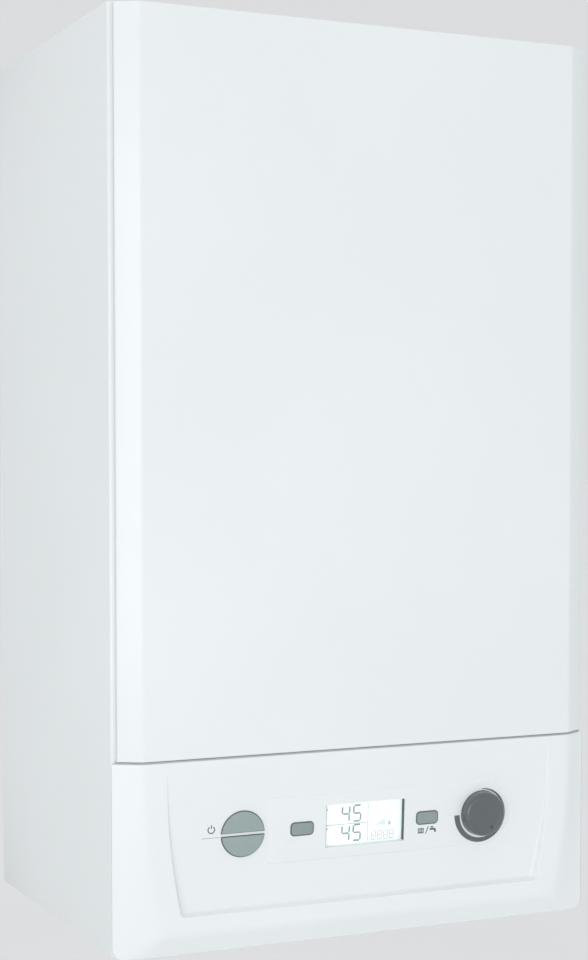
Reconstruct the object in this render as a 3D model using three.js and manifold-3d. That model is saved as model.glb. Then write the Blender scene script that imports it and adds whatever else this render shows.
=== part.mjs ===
// Wall-hung combi boiler: painted casing, tilting control box, sealed burner
// group above and water group below. Millimetres, +Z up, -Y towards the room.
// The pieces are laid out from the wall plane, the middle of the casing and its
// bottom edge; the finished group is then hung from the middle of the bracket.
import * as THREE from 'three';
import { mergeVertices } from 'three/addons/utils/BufferGeometryUtils.js';
import ManifoldModule from 'manifold-3d';

const wasm = await ManifoldModule();
wasm.setup();

// ---------------------------------------------------------------- dimensions
// Gaps
const seat = 0.3; // between two pieces that touch
const edgeGap = 1.0; // side panel edge to front panel and fascia
const seamGap = 1.5; // front panel to fascia
const through = 1; // how far a cutting tool runs past the face it cuts
const reach = 120; // length of the tools that cut to open air

// Casing
const caseWidth = 433;
const caseHeight = 740;
const frontDepth = 317; // wall to the flat front face
const chamferWidth = 21.5;
const chamferDepth = 14; // flat front face back to the side panels' front edge
const sheet = 1.2;
const foldRadius = 3;
const frontFlange = 20; // side panel's front return
const rearFlange = 13;
const stiffener = 12; // turned-down edges of the top panel
const seamHeight = 153.5; // underside of the front panel
const panelReturn = 14; // front panel's inward return behind its chamfer
const studRadius = 3.5;
const studLength = 12;
const studClear = 0.5;
const studInset = 10; // stud axis from the outer face of the side panel
const studTopDrop = 45;
const studRise = 40;

// Back frame, wall bracket and bottom plate
const backInset = 15;
const frameLift = 1.5;
const bracketDrop = 80; // bracket centre below the top of the casing
const bracketHeight = 40;
const bracketLength = 300;
const bracketGauge = 2.5;
const hookHeight = 12;
const hookSideClear = 4;
const windowHeight = 20;
const wallSlotSpacing = 220;
const wallSlotWidth = 8;
const wallSlotLength = 16;
const bottomPlateLift = 6;
const bottomPlateSetback = 68; // plate and ears from the side panels' front edge
const bottomEarSetback = 41;
const bottomLip = 10;

// Flue
const flueFromWall = 140;
const flueBore = 61;
const airBore = 100;
const collarWall = 2.5;
const collarHeight = 25; // above the top panel
const collarFlange = 70;
const flueSocketDepth = 14; // below the top panel
const flueWall = 2;
const flueFit = 0.6; // push fit of the flue pipe in its sockets
const fluePush = 10; // flue pipe inside the collar and the heat exchanger socket
const spokeCount = 3;
const spokeThick = 3;
const spokeHeight = 6;

// Heat exchanger and burner door
const exchangerHeight = 520;
const exchangerRim = 7; // drum outside the burner door
const exchangerRear = 32;
const exchangerFront = 188;
const exchangerRibs = 3;
const ribProud = 3;
const rearShoulder = 12;
const flueSocketWall = 4;
const flueSocketRise = 15; // socket above the drum
const footInset = 35;
const footRadius = 10;
const footRise = 50;
const portSpread = 55;
const portDepth = 60;
const portRadius = 11;
const portDrop = 15; // ports below the drum
const drainDepth = 150;
const drainRadius = 14;
const drainDrop = 20;
const doorClear = 1; // burner door to the mixing duct
const doorThick = 8;
const doorDome = 10;
const doorShoulder = 24; // dome inside the door's edge
const doorNeckRadius = 30;
const doorNeck = 6;
const doorBolts = 6;
const boltInset = 10;
const boltHeadRadius = 6;
const boltHead = 5;
const electrodeRadius = 4;
const electrodeLength = 30;

// Fan, mixing duct, venturi, gas valve
const fanInset = 62.5; // fan axis from the outer face of the right side panel
const fanHeight = 390;
const fanRear = 170;
const fanFront = 225;
const scrollStart = 40;
const scrollEnd = 56;
const outletWidth = 36;
const outletRise = 72;
const fanMotorRadius = 32;
const fanMotorLength = 37;
const ductRadius = 17;
const ductFlange = 24;
const ductFlangeThick = 5;
const ductForward = 62; // front run of the duct in front of the exchanger
const ventRadius = 29;
const ventThroat = 20;
const ventLength = 58;
const gasStubRadius = 10;
const intakeRadius = 25;
const intakeWall = 2;
const intakeTop = 600;
const intakeFromWall = 72;
const intakeBore = 60;
const valveWidth = 66;
const valveRear = 150;
const valveFront = 226;
const valveHeight = 72;
const valveBelowFan = 60; // top of the valve under the fan's axis
const coilRadius = 14;
const coilLength = 26;
const coilPitch = 32;

// Expansion vessel
const vesselThick = 82;
const vesselRear = 30;
const vesselSetback = 33;
const vesselBottom = 290;
const vesselTopDrop = 30; // below the top of the casing
const vesselCorner = 60;
const vesselCrimp = 4;
const vesselBulge = 14;
const shelfReach = 122;
const shelfWidth = 60;
const shelfGauge = 2;
const shelfDrop = 50;

// Water group
const tailFromWall = 105;
const tailBottom = -22;
const tailLargeRadius = 13.2; // G3/4 thread
const tailSmallRadius = 10.4; // G1/2 thread
const tailLargeBore = 9.5;
const tailSmallBore = 7.5;
const tailBoreDepth = 34;
const tailHexHeight = 11;
const tailHexMargin = 5;
const tailHoleClear = 1.2;
const blockBottom = 30;
const manifoldLargeRadius = 22;
const manifoldSmallRadius = 17;
const manifoldTop = 108;
const manifoldSmallTop = 100;
const crossRadius = 16;
const crossHeight = 72;
const cartridgeInset = 40; // diverter cartridge from the large manifold
const cartridgeRadius = 19;
const cartridgeTop = 120;
const diverterWidth = 42;
const diverterHeight = 50;
const exchangerPlateWidth = 192;
const exchangerPlateHeight = 76;
const exchangerPlates = 7;
const plateTrayClear = 54; // plates to the back of the control tray
const plateCorner = 18;
const plateStep = 2.5;
const plateRear = 145;
const platePortSpread = 80;
const platePortLow = 68;
const platePortPitch = 38;
const platePortRadius = 11;
const pumpHeight = 168;
const pumpVolute = 45;
const pumpVoluteDepth = 46;
const pumpRear = 92;
const pumpMotorRadius = 41;
const pumpTrayClear = 28.7; // motor to the back of the control tray
const pumpFins = 3;
const pumpFinMargin = 26; // motor's ends without fins
const pumpSuctionRadius = 19;
const pumpDischargeOffset = 30;
const pumpDischargeRadius = 15;
const pumpDischargeTop = 236;
const airVentRadius = 14;
const airVentHeight = 40;
const airVentOffset = 30;
const pipeRadius = 8;
const gasPipeRadius = 9;
const nutRadius = 13;
const nutLength = 13;
const portRun = 85; // straight run below the heat exchanger's ports
const flowPipeRise = 80; // straight run above the block and above the pump
const returnPipeRise = 13.4;
const trapRadius = 28;
const trapLeft = 42;
const trapTrayClear = 45; // trap's axis to the back of the control tray
const trapBottom = 190;
const trapTop = 322;
const trapOutletRadius = 9;
const trapOutletForward = 16;
const trapOutletBottom = -15;
const reliefRadius = 13;
const reliefReach = 25; // safety valve axis beyond the return manifold
const reliefFront = 150;
const reliefBottom = -15;
const reliefKnobRadius = 17;
const reliefKnobLength = 20;
const fillFromWall = 131;
const fillStemRadius = 8;
const fillStemBottom = -8;
const fillKnobRadius = 15;
const fillKnobLength = 20;
const knobFlutes = 8;
const sensorRadius = 9;
const sensorLength = 34;

// Fascia
const fasciaBottom = -3;
const fasciaWall = 2.5;
const bevelTop = 14;
const bevelDepth = 8;
const bevelFlare = 2;
const taperTop = 135; // above here the chamfer edges run straight up
const taperIn = 15;
const fasciaCorner = 10;
const recessTop = 146;
const recessBottom = 29;
const recessRim = 21;
const recessDepth = 6.5; // at the bottom; it runs out to nothing at the top
const floorWall = 3;
const rowHeight = 90.5; // height of the row of controls
const padProud = 0.6;
const padHalfHeight = 27;
const padLeft = 88;
const knobRing = 28;

// Controls, on the tilted floor of the recess
const controlSpread = 109.5; // round button and knob from the middle
const roundRadius = 18.2;
const roundSplit = 3.2;
const buttonGap = 0.5;
const buttonProud = 1.2;
const buttonTravel = 1.2;
const buttonFlange = 1.0;
const buttonFlangeThick = 1.5;
const stemRadius = 3;
const smallSpread = 57.5;
const smallWidth = 19;
const smallHeight = 9.6;
const smallCorner = 2.5;
const screenWidth = 72;
const screenHeight = 35.5;
const lensMargin = 3;
const lensThick = 1.6;
const moduleMargin = 5;
const boardDepth = 16.7;
const boardThick = 1.6;
const boardInset = 31; // display board inside the tray's sides
const boardHalfHeight = 40;
const switchHeight = 2.2;
const switchRadius = 3.4;
const boardPostInset = 38;
const fasciaPostRise = 35;
const postRadius = 3.5;
const knobRadius = 19;
const knobHeight = 8.4;
const knobGap = 0.5;
const knobEdge = 1.6;
const knobStemRadius = 3;
const knobStemClear = 0.3;
const encoderWidth = 15;
const encoderDepth = 7.4;
const dotRadius = 1.2;
const dotOffset = 13;
const dotAngle = 151; // degrees clockwise from the top, seen from the front

// Control box
const traySideInset = 19; // tray inside the edge of the flat front
const trayWall = 2.2;
const trayBottom = 14;
const trayTop = 143;
const trayDepth = 62;
const hingeSetback = 18;
const hingeHeight = 4;
const hingePinRadius = 4;
const hingePinReach = 8;
const hingeEarRadius = 7;
const hingeEarThick = 4;
const bracketPlateGap = 1.5;
const bracketPlateThick = 2.5;
const bracketFootDepth = 22;
const cornerPostInset = 16;
const cornerPostRadius = 5;
const cornerPostLow = 30;
const cornerPostHigh = 128;
const mainBoardInset = 51;
const mainBoardBottom = 32;
const mainBoardTop = 124;
const mainBoardStandoff = 7;
const transformerSize = 40;
const transformerHeight = 26;
const igniterWidth = 44;
const igniterDrop = 12;
const igniterTall = 38;
const igniterHeight = 22;
const relayPitch = 22;
const relayWidth = 16;
const relayTall = 18;
const relayHeight = 15;
const boardCapRadius = 8;
const boardCapHeight = 24;
const boardCapPitch = 24;
const socketPitch = 26;
const socketWidth = 20;
const socketTall = 8;
const socketHeight = 9;
const partMargin = 12;
const ventSlots = 7;
const ventPitch = 16;
const ventWidth = 4;
const ventHeight = 34;
const coverWidth = 150;
const coverHeight = 60;
const coverBottom = 40;
const coverThick = 2;
const glandRadius = 6;

// --------------------------------------------------------- derived positions
const halfWidth = caseWidth / 2;
const innerHalf = halfWidth - sheet;
const frontHalf = halfWidth - chamferWidth;
const sideDepth = frontDepth - chamferDepth; // wall to the front edge of the side panels
const frontEdge = sideDepth + edgeGap;
const fasciaTop = seamHeight - seamGap;
const backPlateFront = backInset + sheet;
const bottomPlateTop = bottomPlateLift + sheet;
const bottomPlateFront = sideDepth - bottomPlateSetback;
const bottomEarFront = sideDepth - bottomEarSetback;
const bracketCentre = caseHeight - bracketDrop;
const fanX = halfWidth - fanInset;
const outletX = fanX - scrollEnd + outletWidth / 2;
const doorRadius = outletX - ductRadius - doorClear;
const doorDomeRadius = doorRadius - doorShoulder;
const boltCircle = doorRadius - boltInset;
const electrodeOffset = (doorNeckRadius + doorDomeRadius) / 2 - electrodeRadius;
const exchangerRadius = doorRadius + exchangerRim;
const footSpread = exchangerRadius - footInset;
const flueSocketTop = exchangerHeight + exchangerRadius + flueSocketRise;
const portBottom = exchangerHeight - exchangerRadius - portDrop;
const drainBottom = exchangerHeight - exchangerRadius - drainDrop;
const valveTop = fanHeight - valveBelowFan;
const valveBottom = valveTop - valveHeight;
const vesselLeft = -innerHalf + seat;
const vesselRight = vesselLeft + vesselThick;
const vesselX = (vesselLeft + vesselRight) / 2;
const vesselFront = sideDepth - vesselSetback;
const vesselTop = caseHeight - vesselTopDrop;
const vesselY = -(vesselRear + vesselFront) / 2;
const tailPitch = frontHalf / 3; // five tails, spread under the flat front
const largeX = 2 * tailPitch; // heating flow and return
const smallX = tailPitch; // hot water out and cold water in
const cartridgeX = -largeX + cartridgeInset;
const plateFace = plateRear - 2 - seat; // front of the manifold bosses
const reliefX = largeX + manifoldLargeRadius + reliefReach;
const fillX = (largeX + smallX) / 2;
const floorSlope = recessDepth / (recessTop - recessBottom);
const floorTilt = Math.atan(floorSlope);
const rowDepth = frontDepth - floorSlope * (recessTop - rowHeight);
const trayHalfWidth = frontHalf - traySideInset;
const trayRear = sideDepth - trayDepth;
const exchangerPlateThick = (trayRear - plateRear - plateTrayClear) / exchangerPlates;
const trapFromWall = trayRear - trapTrayClear;
const cornerPostSpread = trayHalfWidth - cornerPostInset;
const fasciaPostSpread = trayHalfWidth - boardPostInset;
const boardHalfWidth = trayHalfWidth - boardInset;
const mainBoardHalfWidth = trayHalfWidth - mainBoardInset;
const pumpMotorLength = trayRear - pumpTrayClear - seat - pumpRear - pumpVoluteDepth;
const hingeFromWall = sideDepth - hingeSetback;
const hingeX = trayHalfWidth + bracketPlateGap;

// ------------------------------------------------------------- shape helpers
// Each axis has its cross directions in X, Y, Z order, then its own direction.
const bases = {
  x: [new THREE.Vector3(0, 1, 0), new THREE.Vector3(0, 0, 1), new THREE.Vector3(1, 0, 0)],
  y: [new THREE.Vector3(1, 0, 0), new THREE.Vector3(0, 0, 1), new THREE.Vector3(0, 1, 0)],
  z: [new THREE.Vector3(1, 0, 0), new THREE.Vector3(0, 1, 0), new THREE.Vector3(0, 0, 1)],
};

function turnTo(geometry, axis) {
  return geometry.applyMatrix4(new THREE.Matrix4().makeBasis(...bases[axis]));
}

function box([x0, x1], [y0, y1], [z0, z1]) {
  const geometry = new THREE.BoxGeometry(x1 - x0, y1 - y0, z1 - z0);
  return geometry.translate((x0 + x1) / 2, (y0 + y1) / 2, (z0 + z1) / 2);
}

function rod(axis, [u, v], radius, [from, to], sides = 20, endRadius = radius) {
  const geometry = new THREE.CylinderGeometry(endRadius, radius, to - from, sides);
  geometry.rotateX(Math.PI / 2).translate(u, v, (from + to) / 2);
  return turnTo(geometry, axis);
}

// A body of revolution; the profile is a list of [radius, place along the axis].
function turned(axis, [u, v], profile, sides = 24) {
  const points = profile.map(([radius, along]) => new THREE.Vector2(radius, along));
  const geometry = new THREE.LatheGeometry(points, sides);
  geometry.rotateX(Math.PI / 2).translate(u, v, 0);
  return turnTo(geometry, axis);
}

function ring(axis, centre, inner, outer, [from, to], sides = 28) {
  const profile = [[inner, from], [outer, from], [outer, to], [inner, to], [inner, from]];
  return turned(axis, centre, profile, sides);
}

// An arc in the shape gets 2 * curveSegments sides.
function prism(axis, shape, [from, to], curveSegments = 1) {
  const options = { depth: to - from, bevelEnabled: false, curveSegments };
  return turnTo(new THREE.ExtrudeGeometry(shape, options).translate(0, 0, from), axis);
}

function outline(points) {
  return new THREE.Shape(points.map(([u, v]) => new THREE.Vector2(u, v)));
}

function roundedOutline([u0, u1], [v0, v1], radius) {
  const shape = new THREE.Shape();
  shape.absarc(u1 - radius, v0 + radius, radius, -Math.PI / 2, 0);
  shape.absarc(u1 - radius, v1 - radius, radius, 0, Math.PI / 2);
  shape.absarc(u0 + radius, v1 - radius, radius, Math.PI / 2, Math.PI);
  shape.absarc(u0 + radius, v0 + radius, radius, Math.PI, 1.5 * Math.PI);
  return shape;
}

// A path given station by station: straight runs take one step, bends several.
class Run extends THREE.Curve {
  constructor(stations) {
    super();
    this.stations = stations;
  }

  station(u) {
    return this.stations[Math.round(u * (this.stations.length - 1))];
  }

  getPointAt(u) {
    return this.station(u).point.clone();
  }

  getTangentAt(u) {
    return this.station(u).tangent.clone();
  }
}

// A round bar along straight runs joined by smooth bends.
function bar(points, radius, sides = 8, bendSteps = 3) {
  const corners = points.map((point) => new THREE.Vector3(...point));
  const towards = (from, to) => to.clone().sub(from).normalize();
  const stations = [{ point: corners[0], tangent: towards(corners[0], corners[1]) }];
  for (let i = 1; i < corners.length - 1; i += 1) {
    const entry = corners[i].clone().lerp(corners[i - 1], 0.45);
    const exit = corners[i].clone().lerp(corners[i + 1], 0.45);
    const bend = new THREE.QuadraticBezierCurve3(entry, corners[i], exit);
    for (let step = 0; step <= bendSteps; step += 1) {
      const t = step / bendSteps;
      stations.push({ point: bend.getPoint(t), tangent: bend.getTangent(t) });
    }
  }
  const [before, last] = corners.slice(-2);
  stations.push({ point: last, tangent: towards(before, last) });
  const section = new THREE.Shape().absarc(0, 0, radius, 0, 2 * Math.PI);
  const options = {
    steps: stations.length - 1, extrudePath: new Run(stations), curveSegments: sides / 2, bevelEnabled: false,
  };
  return new THREE.ExtrudeGeometry(section, options);
}

// Joins level rings with the same number of points into one closed skin.
function loft(levels) {
  const count = levels[0].ring.length;
  const positions = levels.flatMap(({ z, ring: points }) => points.flatMap(([x, y]) => [x, y, z]));
  const index = [];
  for (let level = 0; level < levels.length - 1; level += 1) {
    for (let i = 0; i < count; i += 1) {
      const a = level * count + i;
      const b = level * count + ((i + 1) % count);
      index.push(a, b, b + count, a, b + count, a + count);
    }
  }
  const top = (levels.length - 1) * count;
  for (let i = 1; i < count - 1; i += 1) {
    index.push(0, i + 1, i, top, top + i, top + i + 1);
  }
  const geometry = new THREE.BufferGeometry();
  geometry.setAttribute('position', new THREE.Float32BufferAttribute(positions, 3));
  return geometry.setIndex(index);
}

// ------------------------------------------------------- solids and booleans
function signedVolume(positions, triangles) {
  const corner = [new THREE.Vector3(), new THREE.Vector3(), new THREE.Vector3()];
  let sum = 0;
  for (let i = 0; i < triangles.length; i += 3) {
    corner.forEach((point, k) => point.fromArray(positions, 3 * triangles[i + k]));
    sum += corner[0].dot(corner[1].clone().cross(corner[2]));
  }
  return sum;
}

function solid(shape) {
  if (!shape.isBufferGeometry) return shape;
  const bare = shape.clone();
  bare.deleteAttribute('normal');
  bare.deleteAttribute('uv');
  const merged = mergeVertices(bare, 1e-3);
  const positions = new Float32Array(merged.attributes.position.array);
  const source = merged.index.array;
  const triangles = [];
  for (let i = 0; i < source.length; i += 3) {
    const [a, b, c] = [source[i], source[i + 1], source[i + 2]];
    if (a !== b && b !== c && c !== a) triangles.push(a, b, c);
  }
  if (signedVolume(positions, triangles) < 0) {
    for (let i = 0; i < triangles.length; i += 3) {
      [triangles[i + 1], triangles[i + 2]] = [triangles[i + 2], triangles[i + 1]];
    }
  }
  const triVerts = new Uint32Array(triangles);
  return new wasm.Manifold(new wasm.Mesh({ numProp: 3, vertProperties: positions, triVerts }));
}

function join(first, ...others) {
  return others.reduce((whole, next) => whole.add(solid(next)), solid(first));
}

function cut(body, ...tools) {
  return tools.reduce((rest, tool) => rest.subtract(solid(tool)), solid(body));
}

function toGeometry(body) {
  const { vertProperties, triVerts } = body.getMesh();
  const geometry = new THREE.BufferGeometry();
  geometry.setAttribute('position', new THREE.BufferAttribute(vertProperties, 3));
  geometry.setIndex(new THREE.BufferAttribute(triVerts, 1));
  geometry.computeVertexNormals();
  return geometry;
}

// ------------------------------------------------------------------ materials
function finish(color, roughness, metalness) {
  return new THREE.MeshStandardMaterial({ color, roughness, metalness });
}

const whitePaint = finish(0xe9eded, 0.35, 0);
const whitePlastic = finish(0xebefef, 0.45, 0);
const buttonGrey = finish(0x93a3a1, 0.5, 0);
const knobGrey = finish(0x646e70, 0.45, 0);
const lensClear = finish(0xeaf8fa, 0.1, 0);
const moduleGrey = finish(0xd9eef0, 0.4, 0);
const zinc = finish(0xb4b8ba, 0.4, 0.9);
const stainless = finish(0xc6c8c8, 0.3, 1);
const castAluminium = finish(0xa9adb0, 0.5, 0.9);
const brass = finish(0xb99a55, 0.35, 1);
const copper = finish(0xb87350, 0.35, 1);
const blackPlastic = finish(0x26282a, 0.55, 0);
const greyPlastic = finish(0x7d8488, 0.6, 0);
const redPaint = finish(0xb3261e, 0.45, 0);
const redPlastic = finish(0xc02a22, 0.5, 0);
const bluePlastic = finish(0x2a5f9e, 0.5, 0);
const boardGreen = finish(0x2f6b45, 0.6, 0);
const ceramic = finish(0xf1ece0, 0.4, 0);

// ---------------------------------------------------------------- scene graph
const boiler = new THREE.Group();
const casing = new THREE.Group(); // from the wall, the middle and the bottom edge
const controls = new THREE.Group(); // on the recess floor, middle of the row
casing.position.z = -bracketCentre;
controls.position.set(0, -rowDepth, rowHeight);
controls.rotation.x = floorTilt;
boiler.add(casing);
casing.add(controls);

// A piece that moves is given the point that it turns or slides on.
function addPiece(group, name, body, material, pivot = [0, 0, 0]) {
  const geometry = toGeometry(solid(body)).translate(-pivot[0], -pivot[1], -pivot[2]);
  const mesh = new THREE.Mesh(geometry, material);
  mesh.name = name;
  mesh.position.set(...pivot);
  group.add(mesh);
}

// Takes a tool drawn on the recess floor to the casing's frame.
function onFloor(geometry) {
  const tilt = new THREE.Matrix4().makeRotationX(floorTilt);
  return geometry.applyMatrix4(tilt.setPosition(0, -rowDepth, rowHeight));
}

// --------------------------------------------------------------------- casing
const studX = halfWidth - studInset;
const studHeights = [seamHeight + studRise, caseHeight - studTopDrop];

function sidePanel(side) {
  const shape = new THREE.Shape();
  shape.moveTo(halfWidth, 0);
  shape.lineTo(halfWidth, -(sideDepth - foldRadius));
  shape.absarc(halfWidth - foldRadius, -(sideDepth - foldRadius), foldRadius, 0, -Math.PI / 2, true);
  shape.lineTo(halfWidth - frontFlange, -sideDepth);
  shape.lineTo(halfWidth - frontFlange, -sideDepth + sheet);
  shape.lineTo(innerHalf - foldRadius + sheet, -sideDepth + sheet);
  shape.lineTo(innerHalf, -sideDepth + foldRadius);
  shape.lineTo(innerHalf, -sheet);
  shape.lineTo(halfWidth - rearFlange, -sheet);
  shape.lineTo(halfWidth - rearFlange, 0);
  const skin = prism('z', shape, [0, caseHeight], 2);
  const span = [-sideDepth - through, -sideDepth + sheet + through];
  const holes = studHeights.map((z) => rod('y', [studX, z], studRadius + studClear, span, 12));
  const pieces = [skin, ...holes].map((geometry) => geometry.scale(side, 1, 1));
  return cut(...pieces);
}

function backFrame() {
  const half = innerHalf - seat;
  const rear = -(sheet + seat);
  const shape = outline([
    [-half, rear], [-half, -backPlateFront], [half, -backPlateFront], [half, rear],
    [half - sheet, rear], [half - sheet, -backInset], [sheet - half, -backInset], [sheet - half, rear],
  ]);
  const windowTop = bracketCentre + bracketHeight / 2 + seat;
  const hookHalf = bracketLength / 2 + hookSideClear;
  const hookWindow = box(
    [-hookHalf, hookHalf],
    [-backPlateFront - through, -backInset + through],
    [windowTop - windowHeight, windowTop],
  );
  return cut(prism('z', shape, [frameLift, caseHeight - sheet - seat]), hookWindow);
}

function wallBracket() {
  const low = bracketCentre - bracketHeight / 2;
  const high = bracketCentre + bracketHeight / 2;
  const lip = -(backPlateFront + seat);
  const shape = outline([
    [0, low], [0, high], [lip, high], [lip, high + hookHeight], [lip - bracketGauge, high + hookHeight],
    [lip - bracketGauge, high - bracketGauge], [-bracketGauge, high - bracketGauge], [-bracketGauge, low],
  ]);
  const slots = [-1, 1].map((side) => {
    const x = side * wallSlotSpacing / 2;
    const width = [x - wallSlotLength / 2, x + wallSlotLength / 2];
    const height = [bracketCentre - wallSlotWidth / 2, bracketCentre + wallSlotWidth / 2];
    const slot = roundedOutline(width, height, wallSlotWidth / 2 - 0.01);
    return prism('y', slot, [-bracketGauge - through, through], 2);
  });
  return cut(prism('x', shape, [-bracketLength / 2, bracketLength / 2]), ...slots);
}

function topPanel() {
  const half = innerHalf - seat;
  const low = caseHeight - stiffener;
  const under = caseHeight - sheet;
  const shape = outline([
    [-half, low], [sheet - half, low], [sheet - half, under], [half - sheet, under],
    [half - sheet, low], [half, low], [half, caseHeight], [-half, caseHeight],
  ]);
  const front = sideDepth - sheet - seat;
  const slab = prism('y', shape, [-front, -(sheet + seat)]);
  const tongueHalf = halfWidth - frontFlange - seat;
  const tongue = box([-tongueHalf, tongueHalf], [-(frontEdge - seat), -front + 1], [under, caseHeight]);
  const cornerRelief = [[-half - through, foldRadius - half], [half - foldRadius, half + through]]
    .map((width) => box(width, [-front - through, -(sideDepth - foldRadius - seat)], [low - through, caseHeight + through]));
  const flueHole = rod('z', [0, -flueFromWall], airBore / 2 - 2, [low, caseHeight + through], 24);
  // The turned-down edges stop behind the back frame's side returns.
  const rearRelief = [[-half - through, -half + 2 * sheet + seat], [half - 2 * sheet - seat, half + through]]
    .map((width) => box(width, [-backPlateFront - seat, 0], [low - through, under]));
  return cut(join(slab, tongue), flueHole, ...rearRelief, ...cornerRelief);
}

function bottomPlate() {
  const half = innerHalf - seat;
  const rear = -(backPlateFront + seat);
  const ear = hingeX + bracketPlateThick + seat;
  const shape = outline([
    [-half, rear], [-half, -bottomEarFront], [-ear, -bottomEarFront], [-ear, -bottomPlateFront],
    [ear, -bottomPlateFront], [ear, -bottomEarFront], [half, -bottomEarFront], [half, rear],
  ]);
  const plate = prism('z', shape, [bottomPlateLift, bottomPlateTop]);
  const lipSpan = [-bottomPlateFront, -bottomPlateFront + sheet];
  const lip = box([-ear, ear], lipSpan, [bottomPlateLift, bottomPlateTop + bottomLip]);
  const span = [bottomPlateLift - through, bottomPlateTop + through];
  const hole = (x, y, radius) => rod('z', [x, y], radius + tailHoleClear, span, 10);
  const holes = [
    ...[-largeX, 0, largeX].map((x) => hole(x, -tailFromWall, tailLargeRadius)),
    ...[-smallX, smallX].map((x) => hole(x, -tailFromWall, tailSmallRadius)),
    hole(-trapLeft, -(trapFromWall + trapOutletForward), trapOutletRadius),
    hole(reliefX, -tailFromWall, reliefRadius - 5),
    hole(fillX, -fillFromWall, fillStemRadius),
  ];
  return cut(join(plate, lip), ...holes);
}

function flueCollar() {
  const centre = [0, -flueFromWall];
  const low = caseHeight + seat;
  const high = caseHeight + collarHeight;
  const outer = airBore / 2;
  const inner = flueBore / 2;
  const base = ring('z', centre, outer, collarFlange, [low, low + collarWall], 20);
  const airRing = ring('z', centre, outer, outer + collarWall, [low, high], 20);
  const flueRing = ring('z', centre, inner, inner + collarWall, [caseHeight - flueSocketDepth, high], 18);
  const spokes = Array.from({ length: spokeCount }, (_, i) => {
    const width = [inner + collarWall / 2, outer + collarWall / 2];
    const spoke = box(width, [-spokeThick / 2, spokeThick / 2], [low, low + spokeHeight]);
    return spoke.rotateZ((2 * Math.PI * i) / spokeCount + Math.PI / 2).translate(centre[0], centre[1], 0);
  });
  return join(base, airRing, flueRing, ...spokes);
}

function frontPanel() {
  const slope = (frontDepth - frontEdge) / chamferWidth;
  const shift = sheet * Math.hypot(1, slope);
  const innerCorner = halfWidth - (frontDepth - frontEdge - sheet + shift) / slope;
  const returnY = -frontEdge - sheet;
  const returnX = halfWidth - (sheet + shift) / slope;
  const right = [
    [frontHalf, -frontDepth], [halfWidth, -frontEdge], [halfWidth - panelReturn, -frontEdge],
    [halfWidth - panelReturn, returnY], [returnX, returnY], [innerCorner, -(frontDepth - sheet)],
  ];
  const left = right.map(([x, y]) => [-x, y]).reverse();
  const skin = prism('z', outline([...right, ...left]), [seamHeight, caseHeight]);
  const capShape = outline([
    [-frontHalf, -frontDepth], [frontHalf, -frontDepth], [halfWidth, -frontEdge], [-halfWidth, -frontEdge],
  ]);
  const topCap = prism('z', capShape, [caseHeight - sheet, caseHeight]);
  const bottomCap = prism('z', capShape, [seamHeight, seamHeight + sheet]);
  const studSpan = [-frontEdge - sheet / 2, -frontEdge + studLength];
  const studs = [-1, 1].flatMap((side) => (
    studHeights.map((z) => rod('y', [side * studX, z], studRadius, studSpan, 10))
  ));
  return join(skin, topCap, bottomCap, ...studs);
}

// ----------------------------------------------------------------- burner side
function heatExchanger() {
  const front = exchangerFront;
  const pitch = (front - exchangerRear - rearShoulder) / (exchangerRibs + 0.5);
  const profile = [[0, -exchangerRear], [exchangerRadius - rearShoulder, -exchangerRear]];
  profile.push([exchangerRadius, -(exchangerRear + rearShoulder)]);
  for (let i = 0; i < exchangerRibs; i += 1) {
    const y = -(exchangerRear + rearShoulder + pitch * (i + 0.5));
    profile.push([exchangerRadius, y], [exchangerRadius + ribProud, y - pitch * 0.25]);
    profile.push([exchangerRadius, y - pitch * 0.5]);
  }
  profile.push([exchangerRadius, -front], [0, -front]);
  const drum = turned('y', [0, exchangerHeight], profile, 18);
  const flueAxis = [0, -flueFromWall];
  const socket = rod('z', flueAxis, flueBore / 2 + flueSocketWall, [exchangerHeight + 60, flueSocketTop], 20);
  const bore = rod('z', flueAxis, flueBore / 2, [flueSocketTop - fluePush - seat, flueSocketTop + through], 20);
  const waterway = rod('z', flueAxis, flueBore / 2 - 2 * flueWall, [exchangerHeight + 65, flueSocketTop], 16);
  const feet = [-1, 1].flatMap((side) => [-1, 1].map((rise) => {
    const centre = [side * footSpread, exchangerHeight + rise * footRise];
    return rod('y', centre, footRadius, [-exchangerRear - rearShoulder, -(backPlateFront + seat)], 6);
  }));
  const ports = [-1, 1].map((side) => (
    rod('z', [side * portSpread, -portDepth], portRadius, [portBottom, exchangerHeight - 60], 10)
  ));
  const drain = rod('z', [0, -drainDepth], drainRadius, [drainBottom, exchangerHeight - 60], 12);
  return cut(join(drum, socket, ...feet, ...ports, drain), bore, waterway);
}

function fluePipe() {
  const low = flueSocketTop - fluePush;
  const high = caseHeight - flueSocketDepth + fluePush;
  const outer = flueBore / 2 - flueFit;
  return ring('z', [0, -flueFromWall], outer - flueWall, outer, [low, high], 20);
}

function burnerDoor() {
  const rear = exchangerFront + seat;
  const front = rear + doorThick;
  const dome = front + doorDome;
  const profile = [
    [0, -rear], [doorRadius, -rear], [doorRadius, -front], [doorDomeRadius + 6, -front],
    [doorDomeRadius, -dome], [doorNeckRadius, -dome],
    [doorNeckRadius, -dome - doorNeck], [0, -dome - doorNeck],
  ];
  const plate = turned('y', [0, exchangerHeight], profile, 20);
  const bolts = Array.from({ length: doorBolts }, (_, i) => {
    const angle = (2 * Math.PI * (i + 0.5)) / doorBolts;
    const centre = [boltCircle * Math.cos(angle), exchangerHeight + boltCircle * Math.sin(angle)];
    return rod('y', centre, boltHeadRadius, [-front - boltHead, -front + 1], 6);
  });
  return join(plate, ...bolts);
}

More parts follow.
